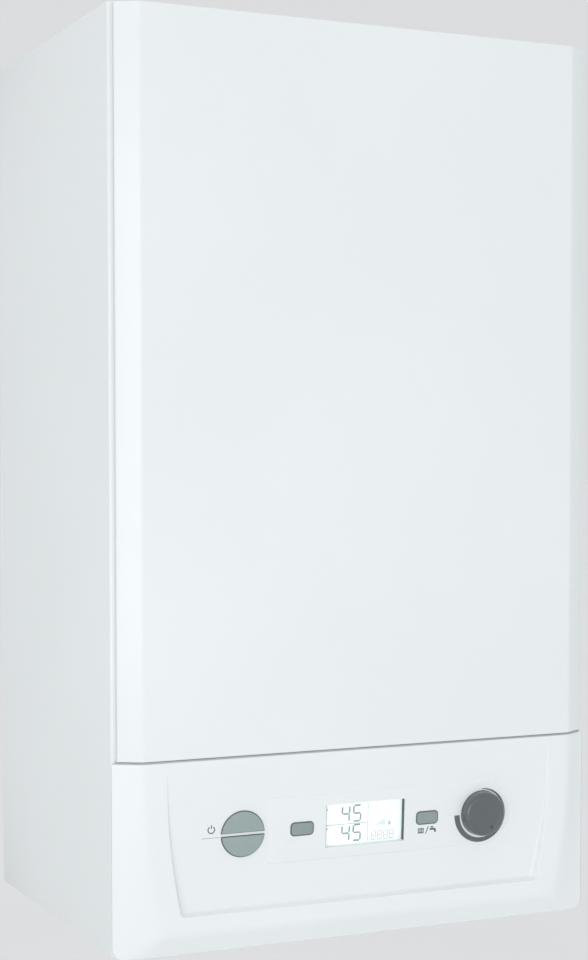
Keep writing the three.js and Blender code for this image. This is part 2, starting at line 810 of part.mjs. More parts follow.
function ignitionElectrode() {
  const face = -(exchangerFront + seat + doorThick + doorDome + seat);
  const [x, z] = [-electrodeOffset, exchangerHeight + electrodeOffset * 0.6];
  const base = box([x - 12, x + 12], [face - 2, face], [z - 8, z + 8]);
  const insulator = turned('y', [x, z], [
    [0, face - 1], [electrodeRadius + 1.5, face - 1], [electrodeRadius, face - 10],
    [electrodeRadius, face - electrodeLength], [1.6, face - electrodeLength],
    [1.6, face - electrodeLength - 8], [0, face - electrodeLength - 8],
  ], 8);
  return join(base, insulator);
}

function fanHousing() {
  const turns = 18;
  const points = Array.from({ length: turns + 1 }, (_, i) => {
    const angle = Math.PI - (2 * Math.PI * i) / turns;
    const radius = scrollEnd - ((scrollEnd - scrollStart) * (turns - i)) / turns;
    return [fanX + radius * Math.cos(angle), fanHeight + radius * Math.sin(angle)];
  });
  const outletSpan = [outletX - outletWidth / 2, outletX + outletWidth / 2];
  const scroll = prism('y', outline(points.slice(0, turns)), [-fanFront, -fanRear]);
  const core = rod('y', [fanX, fanHeight], scrollStart + 4, [-fanFront, -fanRear], 18);
  const outlet = box(outletSpan, [-fanFront, -fanRear], [fanHeight, fanHeight + outletRise]);
  const inner = 4;
  const mouth = box(
    [outletSpan[0] + inner, outletSpan[1] - inner],
    [-fanFront + inner, -fanRear - inner],
    [fanHeight + outletRise - 20, fanHeight + outletRise + through],
  );
  return cut(join(scroll, core, outlet), mouth);
}

function fanMotor() {
  const rear = fanFront + seat;
  const front = rear + fanMotorLength;
  const profile = [
    [0, -rear], [fanMotorRadius + 5, -rear], [fanMotorRadius + 5, -rear - 4], [fanMotorRadius, -rear - 6],
    [fanMotorRadius, -front + 5], [fanMotorRadius - 5, -front], [0, -front],
  ];
  const plug = box([fanX - 10, fanX + 10], [-front + 8, -front + 22], [fanHeight - fanMotorRadius - 8, fanHeight]);
  return join(turned('y', [fanX, fanHeight], profile, 18), plug);
}

function mixingDuct() {
  const middle = -(fanRear + fanFront) / 2;
  const start = fanHeight + outletRise + seat;
  const doorFace = -(exchangerFront + seat + doorThick + doorDome + doorNeck + seat);
  const front = doorFace - ductForward / 2;
  const path = bar([
    [outletX, middle, start + 1], [outletX, middle, start + 36], [outletX - 22, front, exchangerHeight],
    [outletX / 3, front - 4, exchangerHeight], [0, front, exchangerHeight], [0, doorFace - 1, exchangerHeight],
  ], ductRadius, 10, 3);
  const low = rod('z', [outletX, middle], ductFlange, [start, start + ductFlangeThick], 12);
  const high = rod('y', [0, exchangerHeight], ductFlange, [doorFace - ductFlangeThick, doorFace], 12);
  return join(path, low, high);
}

function venturi() {
  const front = -(fanRear - seat);
  const rear = front + ventLength;
  const profile = [
    [0, front], [ventRadius, front], [ventRadius, front + 8], [ventThroat, front + 20],
    [ventThroat, front + 30], [ventRadius - 3, rear - 10], [ventRadius - 3, rear], [0, rear],
  ];
  const stub = rod('z', [fanX, -valveRear - 5], gasStubRadius, [valveTop + seat, fanHeight], 10);
  return join(turned('y', [fanX, fanHeight], profile, 18), stub);
}

function airIntakePipe() {
  const start = -(fanRear - seat) + ventLength + seat;
  const path = bar([
    [fanX, start, fanHeight], [fanX, -intakeFromWall, fanHeight],
    [fanX, -intakeFromWall, fanHeight + 60], [fanX, -intakeFromWall, intakeTop],
  ], intakeRadius, 14, 3);
  const bore = rod('z', [fanX, -intakeFromWall], intakeRadius - intakeWall, [intakeTop - intakeBore, intakeTop + through], 14);
  return cut(path, bore);
}

function gasValve() {
  const span = [fanX - valveWidth / 2, fanX + valveWidth / 2];
  const middle = (valveBottom + valveTop) / 2;
  const body = prism('x', roundedOutline([-valveFront, -valveRear + 12], [valveBottom, valveTop - 10], 6), span);
  const head = rod('z', [fanX, -valveRear - 5], gasStubRadius + 8, [middle, valveTop], 6);
  const inlet = rod('x', [-(valveFront + valveRear) / 2, middle], nutRadius + 2, [span[0] - 8, span[0] + 1], 6);
  const coils = [-0.5, 0.5].map((place) => (
    rod('y', [fanX + place * coilPitch, middle + 10], coilRadius, [-valveFront - coilLength, -valveFront + 1], 14)
  ));
  const regulator = rod('y', [fanX, valveBottom + 12], 8, [-valveFront - 8, -valveFront + 1], 8);
  return join(body, head, inlet, ...coils, regulator);
}

// A pipe with a union nut on each end; each end gives the nut's axis.
function nuttedPipe(points, radius, ends) {
  const nuts = ends.map(({ axis, centre, span }) => rod(axis, centre, nutRadius, span, 6));
  return join(bar(points, radius), ...nuts);
}

function gasPipe() {
  const start = blockBottom;
  const y = -(valveFront + valveRear) / 2;
  const z = (valveBottom + valveTop) / 2;
  const end = fanX - valveWidth / 2 - 8 - seat;
  return nuttedPipe([
    [0, -tailFromWall, start], [0, -tailFromWall, z - 90], [end * 0.2, -tailFromWall - 20, z - 30],
    [end * 0.5, y, z], [end, y, z],
  ], gasPipeRadius, [
    { axis: 'z', centre: [0, -tailFromWall], span: [start, start + nutLength] },
    { axis: 'x', centre: [y, z], span: [end - nutLength, end] },
  ]);
}

// ------------------------------------------------------------ expansion vessel
function expansionVessel() {
  const half = vesselThick / 2 - vesselBulge;
  const depth = [-vesselFront + vesselCrimp + vesselBulge, -vesselRear - vesselCrimp - vesselBulge];
  const height = [vesselBottom + vesselCrimp + vesselBulge, vesselTop - vesselCrimp - vesselBulge];
  const shape = roundedOutline(depth, height, vesselCorner - vesselBulge);
  const options = {
    depth: 2 * half, curveSegments: 2, bevelEnabled: true, bevelSegments: 2,
    bevelThickness: vesselBulge, bevelSize: vesselBulge,
  };
  const bag = turnTo(new THREE.ExtrudeGeometry(shape, options).translate(0, 0, vesselX - half), 'x');
  const rim = roundedOutline([-vesselFront, -vesselRear], [vesselBottom, vesselTop], vesselCorner);
  const crimp = prism('x', rim, [vesselX - 4, vesselX + 4], 2);
  const port = rod('z', [vesselX, vesselY], portRadius, [vesselBottom - 8, vesselBottom + 10], 12);
  const filler = rod('z', [vesselX, vesselY], 5, [vesselTop - 2, vesselTop + 10], 10);
  return join(bag, crimp, port, filler);
}

function vesselBracket() {
  const rear = -(backPlateFront + seat);
  const top = vesselBottom - seat;
  const shape = outline([
    [rear, top], [-shelfReach, top], [-shelfReach, top - shelfGauge],
    [rear - shelfDrop, top - shelfGauge], [rear - shelfGauge, top - shelfDrop], [rear, top - shelfDrop],
  ]);
  return prism('x', shape, [vesselX - shelfWidth / 2, vesselX + shelfWidth / 2]);
}

function vesselPipe() {
  const start = vesselBottom - 8 - seat;
  const end = -largeX - manifoldLargeRadius - seat;
  return nuttedPipe([
    [vesselX, vesselY, start], [vesselX, vesselY, start - 90], [vesselX, -tailFromWall - 10, crossHeight + 50],
    [vesselX, -tailFromWall, crossHeight], [end, -tailFromWall, crossHeight],
  ], pipeRadius, [
    { axis: 'z', centre: [vesselX, vesselY], span: [start - nutLength, start] },
    { axis: 'x', centre: [-tailFromWall, crossHeight], span: [end - nutLength / 2, end] },
  ]);
}

// ------------------------------------------------------------------ water group
function manifold(side) {
  const y = -tailFromWall;
  const large = rod('z', [side * largeX, y], manifoldLargeRadius, [blockBottom, manifoldTop], 14);
  const small = rod('z', [side * smallX, y], manifoldSmallRadius, [blockBottom, manifoldSmallTop], 12);
  const cross = rod('x', [y, crossHeight], crossRadius, [smallX - 8, largeX], 12).scale(side, 1, 1);
  const bosses = [0, 1].map((row) => {
    const z = platePortLow + row * platePortPitch;
    return rod('y', [side * platePortSpread, z], platePortRadius + 2, [-plateFace, y + 6], 10);
  });
  const bridge = rod('z', [side * platePortSpread, y], platePortRadius + 4, [crossHeight, manifoldTop + 3], 10);
  return [large, small, cross, bridge, ...bosses];
}

function flowBlock() {
  const cartridge = rod('z', [cartridgeX, -tailFromWall], cartridgeRadius, [crossHeight, cartridgeTop], 14);
  return join(...manifold(-1), cartridge);
}

function returnBlock() {
  const stem = rod('z', [fillX, -fillFromWall], fillStemRadius, [fillStemBottom, crossHeight], 10);
  const link = rod('y', [fillX, crossHeight], fillStemRadius, [-fillFromWall, -tailFromWall], 10);
  return join(...manifold(1), stem, link);
}

function diverterMotor() {
  const low = cartridgeTop + seat;
  const half = diverterWidth / 2;
  const y = -tailFromWall;
  const body = prism('z', roundedOutline([cartridgeX - half, cartridgeX + half], [y - half, y + half], 6), [low, low + diverterHeight]);
  const cap = rod('z', [cartridgeX, y], half - 6, [low + diverterHeight - 1, low + diverterHeight + 8], 14);
  const plug = box([cartridgeX - 8, cartridgeX + 8], [y - half - 9, y - half + 1], [low + 14, low + 26]);
  return join(body, cap, plug);
}

function plateHeatExchanger() {
  const half = exchangerPlateWidth / 2;
  const low = platePortLow + platePortPitch / 2 - exchangerPlateHeight / 2;
  const plates = Array.from({ length: exchangerPlates }, (_, i) => {
    const inset = i % 2 ? plateStep : 0;
    const near = -plateRear - i * exchangerPlateThick;
    const far = near - exchangerPlateThick - (i < exchangerPlates - 1 ? 0.5 : 0);
    const shape = roundedOutline(
      [inset - half, half - inset],
      [low + inset, low + exchangerPlateHeight - inset],
      plateCorner - inset,
    );
    return prism('y', shape, [far, near]);
  });
  const ports = [-1, 1].flatMap((side) => [0, 1].map((row) => {
    const centre = [side * platePortSpread, platePortLow + row * platePortPitch];
    return rod('y', centre, platePortRadius, [-plateRear - 1, -plateRear + 2], 10);
  }));
  return join(...plates, ...ports);
}

function pumpBody() {
  const front = -(pumpRear + pumpVoluteDepth);
  const volute = turned('y', [largeX, pumpHeight], [
    [0, -pumpRear], [pumpVolute - 8, -pumpRear], [pumpVolute, -pumpRear - 8], [pumpVolute, front + 8],
    [pumpVolute + 3, front + 6], [pumpVolute + 3, front], [0, front],
  ], 18);
  const y = -tailFromWall;
  const suction = rod('z', [largeX, y], pumpSuctionRadius, [manifoldTop + seat, pumpHeight - pumpVolute + 10], 12);
  const discharge = rod('z', [largeX - pumpDischargeOffset, y], pumpDischargeRadius, [pumpHeight, pumpDischargeTop], 12);
  const ventBoss = rod('z', [largeX + airVentOffset, y], airVentRadius - 2, [pumpHeight, pumpHeight + pumpVolute], 10);
  return join(volute, suction, discharge, ventBoss);
}

function pumpMotor() {
  const rear = -(pumpRear + pumpVoluteDepth + seat);
  const front = rear - pumpMotorLength;
  const profile = [[0, rear], [pumpMotorRadius + 5, rear], [pumpMotorRadius + 5, rear - 6]];
  for (let i = 0; i < pumpFins; i += 1) {
    const y = rear - 10 - (i * (pumpMotorLength - pumpFinMargin)) / pumpFins;
    profile.push([pumpMotorRadius, y + 4], [pumpMotorRadius, y - 4]);
    profile.push([pumpMotorRadius - 3, y - 7]);
  }
  profile.push([pumpMotorRadius, front + 14], [pumpMotorRadius - 4, front + 6], [14, front + 6]);
  profile.push([12, front], [0, front]);
  const terminals = box(
    [largeX - 22, largeX + 22], [front + 12, rear - 12], [pumpHeight - pumpMotorRadius - 14, pumpHeight - pumpMotorRadius + 12],
  );
  return join(turned('y', [largeX, pumpHeight], profile, 14), terminals);
}

function airVent() {
  const low = pumpHeight + pumpVolute + seat;
  const high = low + airVentHeight;
  return turned('z', [largeX + airVentOffset, -tailFromWall], [
    [0, low], [airVentRadius - 4, low], [airVentRadius, low + 5], [airVentRadius, high - 12],
    [airVentRadius - 3, high - 9], [6, high - 9], [6, high], [0, high],
  ], 12);
}

function safetyValve() {
  const start = largeX + manifoldLargeRadius + seat;
  const y = -tailFromWall;
  const inlet = rod('x', [y, crossHeight], reliefRadius - 2, [start, reliefX], 12);
  const body = rod('y', [reliefX, crossHeight], reliefRadius, [-reliefFront, y + reliefRadius], 14);
  const outlet = rod('z', [reliefX, y], reliefRadius - 5, [reliefBottom, crossHeight], 10);
  return join(inlet, body, outlet);
}

// A hand knob with flutes round its rim, along the given axis.
function flutedKnob(axis, centre, radius, [from, to], grooveAt) {
  const cap = rod(axis, centre, radius, [from, to], 16, radius * 0.94);
  const grooves = Array.from({ length: knobFlutes }, (_, i) => {
    const angle = (2 * Math.PI * i) / knobFlutes;
    const [u, v] = [centre[0] + radius * 1.08 * Math.cos(angle), centre[1] + radius * 1.08 * Math.sin(angle)];
    return rod(axis, [u, v], radius * 0.24, grooveAt, 5);
  });
  return cut(cap, ...grooves);
}

function pressureSensor() {
  const start = -(tailFromWall + manifoldLargeRadius + seat);
  const centre = [-largeX, crossHeight];
  const hex = rod('y', centre, sensorRadius + 3, [start - 8, start], 6);
  const body = rod('y', centre, sensorRadius, [start - sensorLength, start - 7], 12);
  return join(hex, body);
}

function waterPipe(fromX, toX, toZ, rise) {
  const high = portBottom - seat;
  const low = toZ + seat;
  return nuttedPipe([
    [fromX, -portDepth, high], [fromX, -portDepth, high - portRun],
    [toX, -tailFromWall, low + rise], [toX, -tailFromWall, low],
  ], pipeRadius, [
    { axis: 'z', centre: [fromX, -portDepth], span: [high - nutLength, high] },
    { axis: 'z', centre: [toX, -tailFromWall], span: [low, low + nutLength] },
  ]);
}

function connectionTail(x, radius, bore) {
  const centre = [x, -tailFromWall];
  const hexLow = bottomPlateTop + seat;
  const shank = rod('z', centre, radius, [tailBottom, blockBottom - seat], 12);
  const hex = rod('z', centre, radius + tailHexMargin, [hexLow, hexLow + tailHexHeight], 6);
  const hole = rod('z', centre, bore, [tailBottom - through, tailBottom + tailBoreDepth], 10);
  return cut(join(shank, hex), hole);
}

function condensateTrap() {
  const centre = [-trapLeft, -trapFromWall];
  const cup = turned('z', centre, [
    [0, trapBottom], [trapRadius - 6, trapBottom], [trapRadius - 2, trapBottom + 4],
    [trapRadius - 2, trapBottom + 22], [trapRadius, trapBottom + 24], [trapRadius, trapTop - 16],
    [drainRadius, trapTop - 10], [drainRadius, trapTop], [0, trapTop],
  ], 14);
  const [x, y] = [-trapLeft, -(trapFromWall + trapOutletForward)];
  const outlet = rod('z', [x, y], trapOutletRadius, [trapOutletBottom, trapBottom + 10], 10);
  const bore = rod('z', [x, y], trapOutletRadius - 2, [trapOutletBottom - through, trapOutletBottom + 20], 10);
  return cut(join(cup, outlet), bore);
}

function condensatePipe() {
  const high = drainBottom - seat;
  const low = trapTop + seat;
  return bar([
    [0, -drainDepth, high], [0, -drainDepth, high - 24],
    [-trapLeft, -trapFromWall, low + 26], [-trapLeft, -trapFromWall, low],
  ], drainRadius - 4);
}

// ---------------------------------------------------------------------- fascia
function facetHalf(z) {
  const drop = Math.max(0, taperTop - z) / (taperTop - bevelTop);
  return frontHalf - taperIn * drop ** 2;
}

// The front outline at one height, moved inwards by a wall thickness.
function fasciaRing(z, inset, back) {
  const below = Math.max(0, (bevelTop - z) / (bevelTop - fasciaBottom));
  const face = frontDepth - bevelDepth * below;
  const straight = facetHalf(Math.max(z, bevelTop));
  const half = straight + (frontHalf + bevelFlare - straight) * below;
  const slope = (face - frontEdge) / (halfWidth - half);
  const shift = inset * Math.hypot(1, slope);
  const corner = halfWidth - (face - frontEdge - inset + shift) / slope;
  const edge = halfWidth - inset;
  const right = [[edge, back], [edge, -(frontEdge + slope * inset) + shift], [corner, -(face - inset)]];
  const left = right.map(([x, y]) => [-x, y]).reverse();
  return [...right, ...left];
}

function fasciaLevels(low, high) {
  const steps = 5;
  const curve = Array.from({ length: steps }, (_, i) => bevelTop + ((taperTop - bevelTop) * i) / steps);
  return [low, ...curve, taperTop, high].filter((z, i, all) => i === 0 || z > all[i - 1]);
}

// The wedge in front of the recess floor, or with a wall round it.
function recessWedge(wall, floor) {
  const low = recessBottom - wall;
  const high = recessTop + wall;
  const levels = fasciaLevels(low, high).filter((z) => z >= low);
  return loft(levels.map((z) => {
    const half = facetHalf(z) - recessRim + wall;
    const y = -(frontDepth - floorSlope * (recessTop - z)) + floor;
    const front = -frontDepth - reach;
    return { z, ring: [[-half, front], [half, front], [half, y], [-half, y]] };
  }));
}

const roundButton = { x: -controlSpread, radius: roundRadius };

function halfDisc(side, radius, gap) {
  const edge = Math.asin(gap / radius);
  const shape = new THREE.Shape();
  const angles = side > 0 ? [edge, Math.PI - edge] : [Math.PI + edge, 2 * Math.PI - edge];
  shape.absarc(roundButton.x, 0, radius, ...angles);
  return shape;
}

function smallOutline(x, grow) {
  const [w, h] = [smallWidth / 2 + grow, smallHeight / 2 + grow];
  return roundedOutline([x - w, x + w], [-h, h], smallCorner + grow);
}

function screenOutline(grow) {
  const [w, h] = [screenWidth / 2 + grow, screenHeight / 2 + grow];
  return roundedOutline([-w, w], [-h, h], 1 + grow);
}

function fascia() {
  const shell = loft(fasciaLevels(fasciaBottom, fasciaTop).map((z) => (
    { z, ring: fasciaRing(z, 0, -frontEdge) }
  )));
  const hollow = loft(fasciaLevels(fasciaBottom + fasciaWall, fasciaTop - fasciaWall).map((z) => (
    { z, ring: fasciaRing(z, fasciaWall, -frontEdge + 3 * fasciaWall) }
  )));
  const cornered = roundedOutline([-halfWidth, halfWidth], [fasciaBottom, fasciaTop + fasciaCorner], fasciaCorner);
  const trimmed = solid(shell).intersect(solid(prism('y', cornered, [-frontDepth - reach, reach], 3)));
  const cavity = cut(hollow, recessWedge(floorWall, floorWall));
  const pad = onFloor(prism('y', roundedOutline([-padLeft, controlSpread], [-padHalfHeight, padHalfHeight], 4), [-padProud, 1]));
  const knobPad = onFloor(rod('y', [controlSpread, 0], knobRing, [-padProud, 1], 24));
  const span = [-2 * floorWall, 2 * floorWall];
  const openings = [
    ...[1, -1].map((side) => prism('y', halfDisc(side, roundRadius + buttonGap, roundSplit / 2 - buttonGap), span, 8)),
    ...[-1, 1].map((side) => prism('y', smallOutline(side * smallSpread, buttonGap), span, 2)),
    prism('y', screenOutline(0), span),
    rod('y', [controlSpread, 0], knobStemRadius + 1, span, 12),
  ].map(onFloor);
  const boardPosts = [-1, 1].flatMap((side) => [-1, 1].map((rise) => (
    onFloor(rod('y', [side * fasciaPostSpread, rise * fasciaPostRise], postRadius, [floorWall - 1, boardDepth - seat], 8))
  )));
  const trayPosts = [-1, 1].flatMap((side) => [cornerPostLow, cornerPostHigh].map((z) => {
    const floor = frontDepth - floorSlope * (recessTop - z) - floorWall;
    return rod('y', [side * cornerPostSpread, z], cornerPostRadius, [-floor - 1, -frontEdge - 0.6], 6);
  }));
  const moulded = cut(trimmed, recessWedge(0, 0), cavity);
  return cut(join(moulded, pad, knobPad, ...boardPosts, ...trayPosts), ...openings);
}

// -------------------------------------------------------------------- controls
// Along the floor's own Y axis: 0 is the floor's face, positive goes inwards.
const switchTop = boardDepth - switchHeight;
const stemEnd = switchTop - seat - buttonTravel;
const flangeStart = floorWall + seat;

function button(shape, flangeShape, [x, z], segments) {
  const cap = prism('y', shape, [-padProud - buttonProud, flangeStart + 1], segments);
  const flange = prism('y', flangeShape, [flangeStart, flangeStart + buttonFlangeThick], segments / 2);
  const stem = rod('y', [x, z], stemRadius, [flangeStart, stemEnd], 8);
  return join(cap, flange, stem);
}

function halfButton(side) {
  const shape = halfDisc(side, roundRadius, roundSplit / 2);
  const flange = halfDisc(side, roundRadius + buttonFlange, roundSplit / 2 - buttonFlange);
  return button(shape, flange, halfButtonPivot(side), 8);
}

function halfButtonPivot(side) {
  return [-controlSpread, side * roundRadius * 0.5];
}

function smallButton(x) {
  return button(smallOutline(x, 0), smallOutline(x, buttonFlange), [x, 0], 2);
}

function displayWindow() {
  return prism('y', screenOutline(lensMargin), [flangeStart, flangeStart + lensThick]);
}

function displayModule() {
  const front = flangeStart + lensThick + seat;
  return prism('y', screenOutline(moduleMargin), [front, boardDepth - seat]);
}

function displayBoard() {
  const board = box([-boardHalfWidth, boardHalfWidth], [boardDepth, boardDepth + boardThick], [-boardHalfHeight, boardHalfHeight]);
  const places = [...[1, -1].map(halfButtonPivot), [-smallSpread, 0], [smallSpread, 0]];
  const switches = places.map((place) => rod('y', place, switchRadius, [switchTop, boardDepth + 1], 8));
  return join(board, ...switches);
}

function encoder() {
  const half = encoderWidth / 2;
  const front = boardDepth - seat - encoderDepth;
  const body = box([controlSpread - half, controlSpread + half], [front, boardDepth - seat], [-half, half]);
  return cut(body, rod('y', [controlSpread, 0], knobStemRadius + knobStemClear, [front - through, front + 5], 12));
}

function controlKnob() {
  const base = -padProud - knobGap;
  const face = -padProud - knobHeight;
  const stem = boardDepth - seat - encoderDepth + 4;
  const profile = [
    [0, stem], [knobStemRadius, stem], [knobStemRadius, base], [knobRadius - 0.3, base],
    [knobRadius, base - 0.5], [knobRadius - 0.3, face + knobEdge],
    [knobRadius - knobEdge, face], [knobRadius - 4, face], [knobRadius - 5, face + 0.3], [0, face + 0.3],
  ];
  const angle = THREE.MathUtils.degToRad(dotAngle);
  const dot = [controlSpread + dotOffset * Math.sin(angle), dotOffset * Math.cos(angle)];
  return cut(turned('y', [controlSpread, 0], profile, 26), rod('y', dot, dotRadius, [face - through, face + 0.8], 8));
}

// ------------------------------------------------------------------ control box
function controlTray() {
  const front = -frontEdge - 0.3;
  const outer = box([-trayHalfWidth, trayHalfWidth], [front, -trayRear], [trayBottom, trayTop]);
  const inner = box(
    [trayWall - trayHalfWidth, trayHalfWidth - trayWall],
    [front - through, -trayRear - trayWall],
    [trayBottom + trayWall, trayTop - trayWall],
  );
  const corners = [-1, 1].flatMap((side) => [cornerPostLow, cornerPostHigh].map((z) => (
    rod('y', [side * cornerPostSpread, z], cornerPostRadius, [front, -trayRear - 1], 6)
  )));
  const standoffs = [-1, 1].flatMap((side) => [mainBoardBottom + 8, mainBoardTop - 8].map((z) => {
    const centre = [side * (mainBoardHalfWidth - 8), z];
    return rod('y', centre, postRadius, [-trayRear - trayWall - mainBoardStandoff + seat, -trayRear - 1], 6);
  }));
  const ears = [-1, 1].flatMap((side) => {
    const earSpan = [trayHalfWidth - hingeEarThick, trayHalfWidth];
    const centre = [-hingeFromWall, hingeHeight];
    const disc = rod('x', centre, hingeEarRadius, earSpan, 12);
    const depth = [-hingeFromWall - hingeEarRadius, -hingeFromWall + hingeEarRadius];
    const web = box(earSpan, depth, [hingeHeight, trayBottom + 1]);
    const pin = rod('x', centre, hingePinRadius, [trayHalfWidth - 1, trayHalfWidth + hingePinReach], 12);
    return [disc, web, pin].map((geometry) => geometry.scale(side, 1, 1));
  });
  const vents = Array.from({ length: ventSlots }, (_, i) => {
    const x = (i - (ventSlots - 1) / 2) * ventPitch;
    const depth = [-trayRear - 20 - ventHeight, -trayRear - 20];
    return box([x - ventWidth / 2, x + ventWidth / 2], depth, [trayTop - 2 * trayWall, trayTop + through]);
  });
  return join(cut(outer, inner, ...vents), ...corners, ...standoffs, ...ears);
}

function wiringCover() {
  const rear = -trayRear + seat;
  const body = prism('y', roundedOutline([-coverWidth / 2, coverWidth / 2], [coverBottom, coverBottom + coverHeight], 5), [rear, rear + coverThick]);
  const glands = [-1, 0, 1].map((place) => (
    rod('y', [place * 45, coverBottom + 14], glandRadius, [rear, rear + coverThick + 2], 6)
  ));
  return join(body, ...glands);
}

function mainBoard() {
  const rear = -trayRear - trayWall - mainBoardStandoff;
  const face = rear - boardThick;
  const slab = box([-mainBoardHalfWidth, mainBoardHalfWidth], [face, rear], [mainBoardBottom, mainBoardTop]);
  const [left, right] = [partMargin + 3 - mainBoardHalfWidth, mainBoardHalfWidth - partMargin + 1];
  const low = mainBoardBottom + partMargin;
  const transformer = box([left, left + transformerSize], [face - transformerHeight, face + 1], [low, low + transformerSize]);
  const igniterTop = mainBoardTop - igniterDrop;
  const ignition = box([right - igniterWidth, right], [face - igniterHeight, face + 1], [igniterTop - igniterTall, igniterTop]);
  const relayTop = mainBoardTop - 10;
  const relays = [0, 1, 2, 3].map((i) => {
    const start = i * relayPitch - 52;
    return box([start, start + relayWidth], [face - relayHeight, face + 1], [relayTop - relayTall, relayTop]);
  });
  const capacitors = [0, 1].map((i) => (
    rod('y', [30 + i * boardCapPitch, low + partMargin], boardCapRadius, [face - boardCapHeight, face + 1], 10)
  ));
  const sockets = [0, 1, 2].map((i) => {
    const start = i * socketPitch - 2 * socketWidth;
    return box([start, start + socketWidth], [face - socketHeight, face + 1], [low - socketTall, low]);
  });
  return join(slab, transformer, ignition, ...relays, ...capacitors, ...sockets);
}

function hingeBracket(side) {
  const plateSpan = [hingeX, hingeX + bracketPlateThick];
  const low = hingeHeight - hingeEarRadius + 2;
  const footLow = bottomPlateTop + seat;
  const rear = -bottomEarFront + bracketFootDepth;
  const front = -hingeFromWall - hingeEarRadius - 2;
  const cheek = prism('x', roundedOutline([front, rear], [low, footLow + 2 * bracketPlateThick], 2), plateSpan);
  const foot = box([hingeX, innerHalf - seat], [-bottomEarFront, rear], [footLow, footLow + bracketPlateThick]);
  const centre = [-hingeFromWall, hingeHeight];
  const hole = rod('x', centre, hingePinRadius + seat, [hingeX - through, hingeX + bracketPlateThick + through], 12);
  const [plate, base, bore] = [cheek, foot, hole].map((geometry) => geometry.scale(side, 1, 1));
  return cut(join(plate, base), bore);
}

// -------------------------------------------------------------------- assembly
addPiece(casing, 'wall_bracket', wallBracket(), zinc);
addPiece(casing, 'back_frame', backFrame(), zinc);
addPiece(casing, 'left_side_panel', sidePanel(-1), whitePaint);
addPiece(casing, 'right_side_panel', sidePanel(1), whitePaint);
addPiece(casing, 'top_panel', topPanel(), whitePaint);
addPiece(casing, 'bottom_plate', bottomPlate(), zinc);
addPiece(casing, 'flue_collar', flueCollar(), blackPlastic);
addPiece(casing, 'front_panel', frontPanel(), whitePaint);

addPiece(casing, 'heat_exchanger', heatExchanger(), stainless);
addPiece(casing, 'flue_pipe', fluePipe(), greyPlastic);
addPiece(casing, 'burner_door', burnerDoor(), castAluminium);
addPiece(casing, 'ignition_electrode', ignitionElectrode(), ceramic);
addPiece(casing, 'fan_housing', fanHousing(), castAluminium);
addPiece(casing, 'fan_motor', fanMotor(), blackPlastic);
addPiece(casing, 'mixing_duct', mixingDuct(), castAluminium);
addPiece(casing, 'venturi', venturi(), castAluminium);
addPiece(casing, 'air_intake_pipe', airIntakePipe(), greyPlastic);
addPiece(casing, 'gas_valve', gasValve(), castAluminium);
addPiece(casing, 'gas_pipe', gasPipe(), copper);

addPiece(casing, 'expansion_vessel', expansionVessel(), redPaint);
addPiece(casing, 'vessel_bracket', vesselBracket(), zinc);
addPiece(casing, 'vessel_pipe', vesselPipe(), copper);

addPiece(casing, 'flow_block', flowBlock(), brass);
addPiece(casing, 'return_block', returnBlock(), brass);
addPiece(casing, 'diverter_motor', diverterMotor(), blackPlastic);
addPiece(casing, 'plate_heat_exchanger', plateHeatExchanger(), stainless);
addPiece(casing, 'pump_body', pumpBody(), greyPlastic);
addPiece(casing, 'pump_motor', pumpMotor(), blackPlastic);
addPiece(casing, 'air_vent', airVent(), brass);
addPiece(casing, 'safety_valve', safetyValve(), brass);
addPiece(casing, 'pressure_sensor', pressureSensor(), brass);
addPiece(casing, 'flow_pipe', waterPipe(-portSpread, -largeX, manifoldTop, flowPipeRise), copper);
addPiece(casing, 'return_pipe', waterPipe(portSpread, largeX - pumpDischargeOffset, pumpDischargeTop, returnPipeRise), copper);
addPiece(casing, 'condensate_trap', condensateTrap(), whitePlastic);
addPiece(casing, 'condensate_pipe', condensatePipe(), greyPlastic);

const tails = [
  ['heating_flow_tail', -largeX, tailLargeRadius, tailLargeBore],
  ['hot_water_tail', -smallX, tailSmallRadius, tailSmallBore],
  ['gas_tail', 0, tailLargeRadius, tailLargeBore],
  ['cold_water_tail', smallX, tailSmallRadius, tailSmallBore],
  ['heating_return_tail', largeX, tailLargeRadius, tailLargeBore],
];
tails.forEach(([name, x, radius, bore]) => addPiece(casing, name, connectionTail(x, radius, bore), brass));

const fillSpan = [fillStemBottom - seat - fillKnobLength, fillStemBottom - seat];
const fillKnob = flutedKnob('z', [fillX, -fillFromWall], fillKnobRadius, fillSpan, fillSpan);
addPiece(casing, 'filling_knob', fillKnob, bluePlastic, [fillX, -fillFromWall, fillSpan[1]]);

const reliefSpan = [-reliefFront - seat - reliefKnobLength, -reliefFront - seat];
const reliefKnob = flutedKnob('y', [reliefX, crossHeight], reliefKnobRadius, reliefSpan, reliefSpan);
addPiece(casing, 'safety_valve_knob', reliefKnob, redPlastic, [reliefX, reliefSpan[1], crossHeight]);

const hingePivot = [0, -hingeFromWall, hingeHeight];
addPiece(casing, 'fascia', fascia(), whitePlastic, hingePivot);
addPiece(casing, 'control_tray', controlTray(), greyPlastic, hingePivot);
addPiece(casing, 'wiring_cover', wiringCover(), blackPlastic, hingePivot);
addPiece(casing, 'main_board', mainBoard(), boardGreen, hingePivot);
addPiece(casing, 'left_hinge_bracket', hingeBracket(-1), zinc);
addPiece(casing, 'right_hinge_bracket', hingeBracket(1), zinc);

